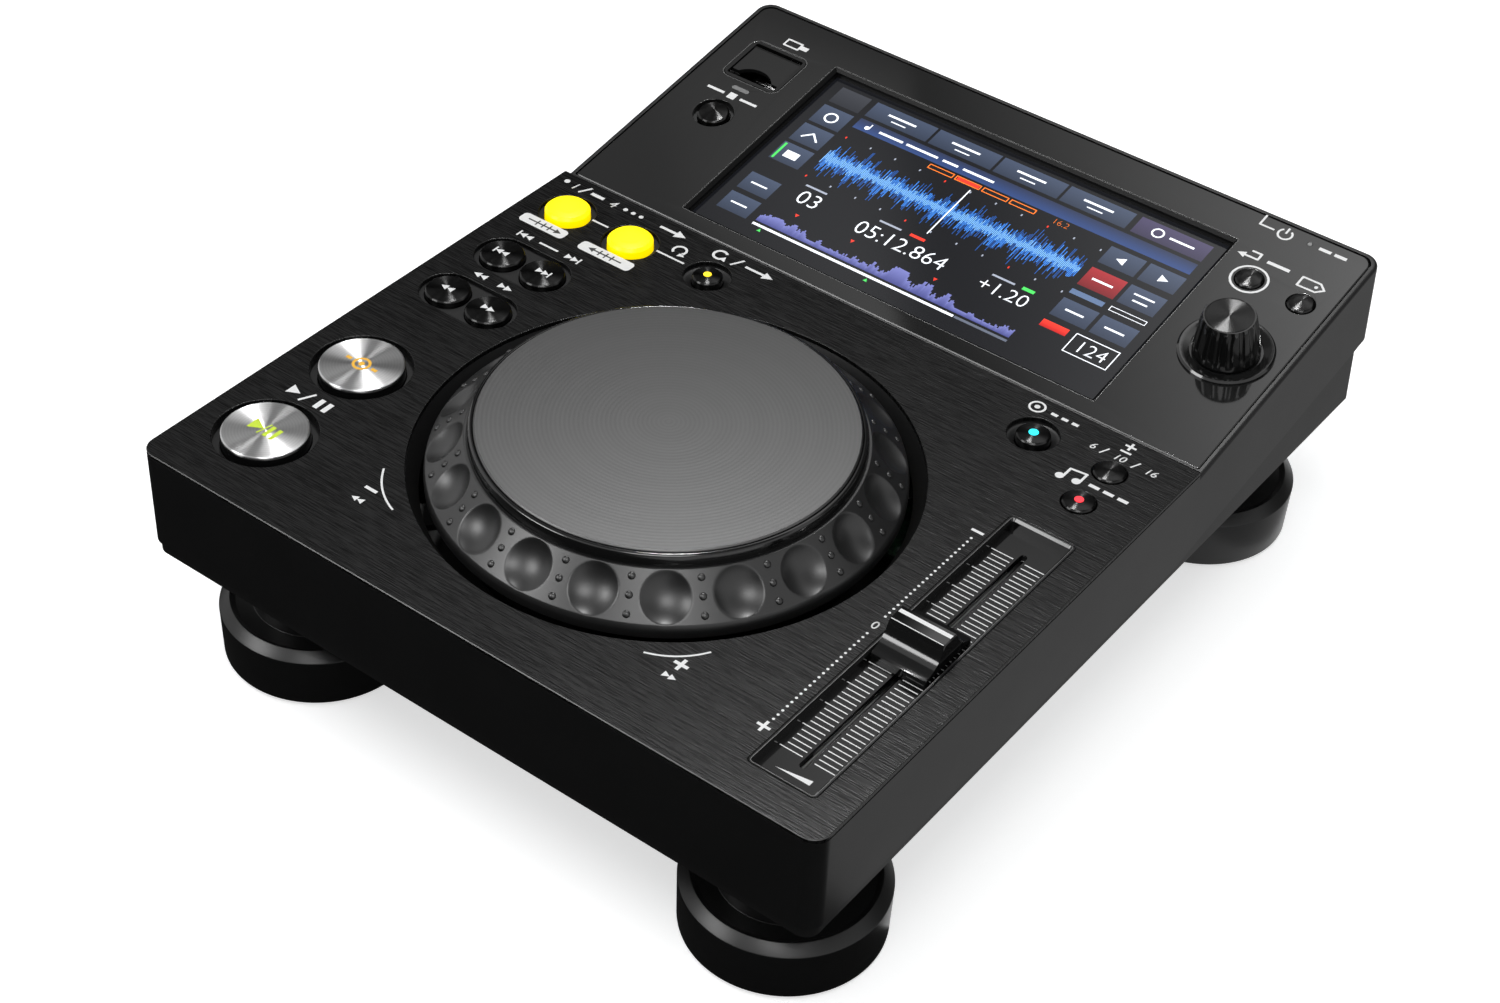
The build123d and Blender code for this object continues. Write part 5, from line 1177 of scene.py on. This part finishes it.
# ------------------------------------------------------------------ marks on the deck
def deck_marks():
    ink = Ink(deck)
    rear, right = deck_depth, case_width
    row = rear - 4.9
    # loop keys: a dot, a dash and a figure over the first, an arrow out over the second
    ink.disc(4.6, row + 0.4, 1.0)
    ink.number("1", 8.4, row - 1.8, 3.6)
    ink.stroke([(11.4, row - 2.0), (13.6, row + 2.2)], 0.75)
    ink.bar(17.8, row, 2.6, 0.7)
    ink.number("4", 24.4, row - 1.8, 3.6)
    for x in (29.4, 32.6, 35.8):
        ink.disc(x, row, 0.8)
    ink.dash(44.0, 50.4, row, 1.1)
    ink.triangle(51.6, row, 2.4)
    ink.dash(25.2, 31.4, rear - 16.3, 0.75)
    ink.dash(51.4, 62.0, rear - 16.2, 0.75)
    # looping arrow on the line to the third key
    ink.arc(56.8, rear - 11.4, 2.2, -60, 235, 0.85)
    ink.triangle(58.6, rear - 13.3, 1.5, 225)
    ink.arc(68.0, row, 2.2, 40, 320, 0.9)
    ink.triangle(70.1, row - 1.4, 1.5, -40)
    ink.stroke([(73.6, row - 2.0), (75.8, row + 2.2)], 0.75)
    ink.dash(78.2, 85.2, row, 1.0)
    ink.triangle(86.4, row, 2.2)
    # skip keys, then play and pause
    ink.skip(15.0, 151.6, 1.9, 180)
    ink.skip(33.6, 151.6, 1.9)
    ink.dash(20.6, 27.8, 151.6, 0.8)
    ink.skip(18.2, 126.2, 1.9, 180, True)
    ink.skip(28.0, 126.2, 1.9, 0, True)
    ink.triangle(14.8, 47.6, 2.6)
    ink.stroke([(19.0, 45.2), (21.4, 50.0)], 0.8)
    for x in (25.0, 28.2):
        ink.bar(x, 47.6, 0.85, 2.2)
    # turning marks each side of the jog wheel
    ink.bar(63.0, 29.05, 2.2, 0.55)
    ink.plus(174.0, 29.05, 2.3, 1.1)
    ink.skip(63.0, 23.6, 1.6, 180, True)
    ink.skip(174.2, 23.6, 1.6, 0, True)
    steps, sag = 16, 1.6
    for start, end in (((59.5, 38.0), (73.5, 26.5)), ((163.5, 26.5), (177.0, 37.8))):
        a, b = Vector(start), Vector(end)
        side = Vector((a.y - b.y, b.x - a.x)).normalized() * sag * 4
        ink.stroke([a.lerp(b, k / steps) - side * (k / steps) * (1 - k / steps)
                    for k in range(steps + 1)], 0.6)
    # disc sign over the jog mode key
    ink.ring(187.0, 183.4, 2.4, 0.7)
    ink.disc(187.0, 183.4, 0.9)
    for x in (193.0, 196.6, 200.2):
        ink.bar(x, 183.4, 1.1, 0.6)
    # tempo range: plus and minus, and the ranges' figures
    ink.plus(right - 21.6, 185.0, 1.8, 0.8)
    ink.bar(right - 21.6, 182.0, 1.8, 0.4)
    for text, x in (("6", 30.6), ("10", 21.6), ("16", 11.0)):
        ink.number(text, right - x, 177.2, 2.9)
    for x in (right - 26.8, right - 16.2):
        ink.stroke([(x - 0.7, 177.0), (x + 0.7, 180.2)], 0.5)
    # key lock sign over the master key
    ink.stroke([(right - 30.0, 160.4), (right - 30.0, 165.2), (right - 24.8, 165.9),
                (right - 24.8, 161.2)], 0.8)
    ink.disc(right - 31.0, 160.6, 1.35)
    ink.disc(right - 25.8, 161.3, 1.35)
    for x in (20.4, 15.6, 10.8):
        ink.bar(right - x, 162.45, 1.7, 0.65)
    # tempo scale figures
    ink.bar(fader_x - 14.2, 124.4, 2.0, 0.5)
    ink.number("0", fader_x - 14.2, 73.0, 3.2, 0.0)
    ink.plus(fader_x - 14.5, 24.8, 2.1, 0.9)
    ink.made("deck_marks", white_ink, "deck_plate")

    # white lozenges with dark signs
    pills, signs = Ink(deck), Ink(deck, 0.038, 0.012)
    for x0, x1, ahead in ((6.2, 24.3, 1), (30.5, 51.3, -1)):
        mid = (x0 + x1) / 2
        pills.box(x0, 157.2, x1, 162.0, 1.5)
        signs.dash(mid - 6.0, mid + 6.0, 159.6, 0.6)
        signs.triangle(mid + ahead * 5.6, 159.6, 1.5, 0 if ahead > 0 else 180)
        for k in (-1, 0, 1):
            signs.bar(mid + 2.4 * k, 159.6, 0.25, 1.4)
    pills.made("deck_lozenges", white_ink, "deck_plate")
    signs.made("lozenge_signs", print_ink("dark_ink", grey(0.012)), "deck_plate")

    # a thin stroke of lighter metal just inside the fader opening: a painted highlight line on its edge
    lip = Ink(place_on(deck, 0, 0, -0.1))
    lip.stroke(around(fader_mid, (10.2, 61.8), 1.1), 0.22, True)
    lip.made("fader_lip_highlight", finishes["edge_highlight_metal"], "fader_bezel")
    bed = Ink(place_on(deck, 0, 0, -3.2))
    bed.film([(fader_x - 5.4, 17.8), (fader_x + 5.4, 17.8), (fader_x + 5.4, 19.6)])
    bed.made("bed_mark", white_ink, "fader_bezel")


def panel_marks():
    ink = Ink(panel)
    back_u, back_v = key_at(panel, "back_button")
    tag_u, tag_v = key_at(panel, "tag_button")
    stop_u, stop_v = key_at(panel, "usb_stop_button")
    ink.ring(back_u, back_v, 5.9, 0.75)
    # power sign, lead line and standby mark
    u, v = case_width - 31.0, panel_length - 6.9
    ink.arc(u, v, 2.3, 125, 415, 0.7)
    ink.bar(u, v + 1.8, 0.35, 1.4)
    ink.stroke([(u - 9.0, v + 4.6), (u - 9.0, v), (u - 4.0, v)], 0.7)
    for left in (u + 12.0, u + 17.4):
        ink.box(left, v - 0.5, left + 4.2, v + 0.8)
    # return arrow over its key
    ink.stroke([(back_u - 7.0, back_v + 9.0), (back_u - 2.2, back_v + 9.0),
                (back_u - 2.2, back_v + 11.8), (back_u - 5.4, back_v + 11.8)], 0.75)
    ink.triangle(back_u - 7.6, back_v + 9.0, 1.7, 180)
    ink.box(back_u + 0.8, back_v + 9.2, back_u + 8.6, back_v + 10.5)
    # tag sign
    ink.stroke([(tag_u + x, tag_v + y) for x, y in ((-5.2, 6.8), (1.0, 6.8), (3.2, 8.9),
                                                    (1.0, 11.0), (-5.2, 11.0))], 0.7, True)
    ink.disc(tag_u + 0.4, tag_v + 8.9, 0.6)
    # memory stick sign over the bay, and stop sign over its key
    ink.outline(19.8, 93.9, 25.6, 97.1, 0.7)
    ink.box(25.6, 94.5, 28.8, 96.5)
    ink.bar(stop_u, stop_v + 10.3, 1.5, 1.5)
    for side in (-1, 1):
        ink.dash(stop_u + side * 3.6, stop_u + side * 10.0, stop_v + 10.3, 1.1)
    ink.made("panel_marks", white_ink, "display_panel")


# ------------------------------------------------------------------ screen picture
slate, slate_low = from_display(60, 70, 90), from_display(42, 50, 66)
mist = from_display(150, 156, 170)
white_light = from_display(236, 240, 246)
red_light = from_display(226, 54, 38)
orange_light = from_display(240, 120, 40)
green_light = from_display(70, 200, 90)


class Picture(Ink):
    """Lit picture: films painted with a colour each, light against dark."""

    weight = -0.09

    def __init__(self, place):
        super().__init__(place, 0.002, 0.002)
        self.paint = self.bm.loops.layers.float_color.new("paint")
        self.level, self.colour = 0, white_light

    def film(self, outline, low_colour=None):
        """A flat tile; a second colour shades it towards the tile's near edge."""
        w = (self.lift + 0.004 * self.level) * MM
        face = self.bm.faces.new([self.bm.verts.new((x * MM, y * MM, w)) for x, y in outline])
        near = min(y for x, y in outline)
        far = max(y for x, y in outline)
        base = low_colour or self.colour
        for loop, (x, y) in zip(face.loops, outline):
            share = (y - near) / max(far - near, 1e-6)
            loop[self.paint] = (*[b + (t - b) * share for t, b in zip(self.colour, base)], 1)

    def tile(self, x0, y0, x1, y1, top=slate, bottom=slate_low):
        self.level, self.colour = 1, top
        self.film(corners(x0, y0, x1, y1), bottom)
        self.level, self.colour = 2, white_light

    def number(self, text, x, y, height, slant=0.0):
        before = len(self.bm.faces)
        super().number(text, x, y, height, slant)
        self.bm.faces.ensure_lookup_table()
        for face in self.bm.faces[before:]:
            for loop in face.loops:
                loop[self.paint] = (*self.colour, 1)


def screen_picture():
    """Level bars, tiles and figures, laid out on the display."""
    pic = Picture(place_on(panel, screen_mid[0] - screen_half[0], screen_mid[1] - screen_half[1],
                           -2.995))
    pic.colour = from_display(14, 15, 19)
    pic.film(corners(0.3, 0.3, 2 * screen_half[0] - 0.3, 2 * screen_half[1] - 0.3))
    # head row
    pic.tile(5, 70.5, 17, 79, from_display(52, 54, 60), from_display(34, 36, 42))
    pic.number("2", 11, 72.6, 4.4)
    for left in (19.5, 45.1, 70.7, 96.3):
        pic.tile(left, 71, left + 24.6, 79)
        pic.dash(left + 7, left + 17.6, 75.6, 0.9)
        pic.dash(left + 9.5, left + 15.0, 73.2, 0.5)
    pic.tile(123, 71, 149, 79, from_display(66, 60, 88), from_display(48, 44, 66))
    pic.ring(131, 75, 1.9, 0.6)
    pic.dash(135.5, 144, 75, 0.9)
    # title strip
    pic.tile(19.5, 64, 149, 69.4, from_display(38, 46, 70), from_display(42, 64, 112))
    pic.disc(24, 66.2, 0.9)
    pic.stroke([(24.8, 66.2), (24.8, 68.4)], 0.4)
    for x0, x1 in ((29, 38), (40, 52), (54.5, 60), (62.5, 74)):
        pic.dash(x0, x1, 66.6, 1.0)
    # left column
    for top in (68.6, 57.4, 46.2):
        pic.tile(5, top - 9.6, 17, top)
    pic.ring(11, 63.8, 2.2, 0.7)
    pic.stroke([(8, 51.0), (11, 54.0), (14, 51.0)], 0.7)
    pic.box(8.4, 39.6, 13.6, 43.0)
    pic.colour = green_light
    pic.box(5.6, 37.2, 6.5, 45.6)
    for top in (28.0, 17.0):
        pic.tile(5, top - 8.8, 17, top)
        pic.dash(8, 14, top - 4.4, 0.7)
    # level bars: three mirrored rows about a middle line, each shorter and brighter
    random.seed(31)
    middle = 47.0
    rows = ((from_display(30, 78, 150), 10.8, 0.26), (from_display(52, 118, 204), 7.2, 0.34),
            (from_display(120, 178, 236), 3.4, 0.26))
    for row, (colour, reach, width) in enumerate(rows):
        pic.level, pic.colour = 2 + row, colour
        for k in range(198):
            x = 20.5 + 0.5 * k
            beat = 1.0 - 0.7 * ((k % 22) / 22.0)
            high, low = (0.5 + reach * random.uniform(0.15, 1.0) ** 1.6 * (0.3 + 0.7 * beat)
                         for _ in range(2))
            pic.box(x, middle - low, x + width, middle + high)
    for k in range(11):
        x = 20.8 + 9.9 * k
        pic.colour = red_light if k % 4 == 0 else mist
        for y in (middle + 11.0, middle - 11.6):
            pic.box(x, y, x + 0.5, y + 0.9)
    pic.level, pic.colour = 5, white_light
    pic.box(69.7, middle - 12.4, 70.15, middle + 12.4)
    # phase boxes
    pic.level, pic.colour = 2, orange_light
    for x in (52, 62.6, 73.2, 83.8):
        pic.outline(x, 61.0, x + 9.4, 62.9, 0.35)
    pic.number("16.2", 103, 60.7, 2.6)
    pic.colour = red_light
    pic.box(63.1, 61.3, 71.6, 62.6)
    # figures
    pic.colour = white_light
    for text, x, y, height in (("03", 29, 23.8, 6.6), ("05:12.864", 66, 22.6, 6.4),
                               ("+1.20", 105, 22.8, 5.8)):
        pic.number(text, x, y, height)
    pic.colour = mist
    for x0, x1, y in ((24, 32, 32.2), (54, 62, 31.4), (98, 106, 30.4)):
        pic.dash(x0, x1, y, 0.8)
    pic.colour = red_light
    pic.dash(66, 71, 31.4, 1.2)
    pic.colour = green_light
    pic.box(109, 29.8, 113.4, 31.2)
    # whole track's outline, and a bar for what has played
    random.seed(33)
    ridge = []
    step = 0.5
    for k in range(196):
        step = min(1.0, max(0.2, step + random.uniform(-0.3, 0.3)))
        ridge.append((20 + 0.5 * k, 10.4 + 6.6 * step * (1.0 - 0.45 * abs(k / 98 - 1))))
    pic.colour = from_display(108, 112, 170)
    dusk = from_display(62, 66, 120)
    for (xa, ya), (xb, yb) in zip(ridge, ridge[1:]):
        pic.film([(xa, 9.6), (xb, 9.6), (xb, ya), (xa, ya)], dusk)
    pic.colour = white_light
    pic.box(20, 7.6, 98, 8.6)
    pic.colour = from_display(90, 96, 110)
    pic.box(98.4, 7.6, 117.8, 8.6)
    pic.level, pic.colour = 3, red_light
    for x in (30, 52, 84):
        pic.triangle(x, 18.6, 0.9, -90)
    pic.colour = green_light
    for x in (24, 66):
        pic.triangle(x, 6.2, 0.9, 90)
    # right column
    for tile in ((122, 53.4, 135, 62), (136.4, 53.4, 149.4, 62), (136.4, 41.4, 149.4, 50.6),
                 (122, 25.4, 135, 34.2), (136.4, 25.4, 149.4, 34.2)):
        pic.tile(*tile)
    pic.tile(122, 41.4, 135, 50.6, from_display(150, 40, 46), from_display(104, 24, 30))
    pic.tile(122, 36.8, 134, 39.0, from_display(84, 104, 136), None)
    pic.tile(122, 19.6, 131.4, 22.8, red_light, from_display(170, 20, 20))
    pic.triangle(128.2, 57.7, 2.0, 180)
    pic.triangle(143.2, 57.7, 2.0)
    for dash in ((125, 132, 46, 0.9), (139.4, 146.4, 47.4, 0.7), (140.4, 145.4, 44.6, 0.7),
                 (125.4, 131.6, 29.8, 0.8), (139.6, 146.2, 29.8, 0.8)):
        pic.dash(*dash)
    pic.outline(136.4, 37.0, 149.2, 38.8, 0.25)
    pic.number("6", 126.6, 20.2, 2.0)
    pic.outline(134, 14.2, 149.4, 22.8, 0.35)
    pic.number("124", 141.8, 15.9, 5.4)
    pic.made("screen_picture", screen_light(), "screen_glass")


# ------------------------------------------------------------------ the deck, piece by piece
make_jog_dial()
make_jog_top()
make_keys()
make_feet()
make_deck_plate()
make_display_panel()
make_fader_cap()
make_rotary_knob()
scale_ticks()
scale_dots()
deck_marks()
panel_marks()
screen_picture()
refined("jog_base", plain_metal("blackened_steel", 0.03, 0.5))
for node in node_slots:
    if not frame["nodes"][node].hide_render:
        refined(node)
studio()
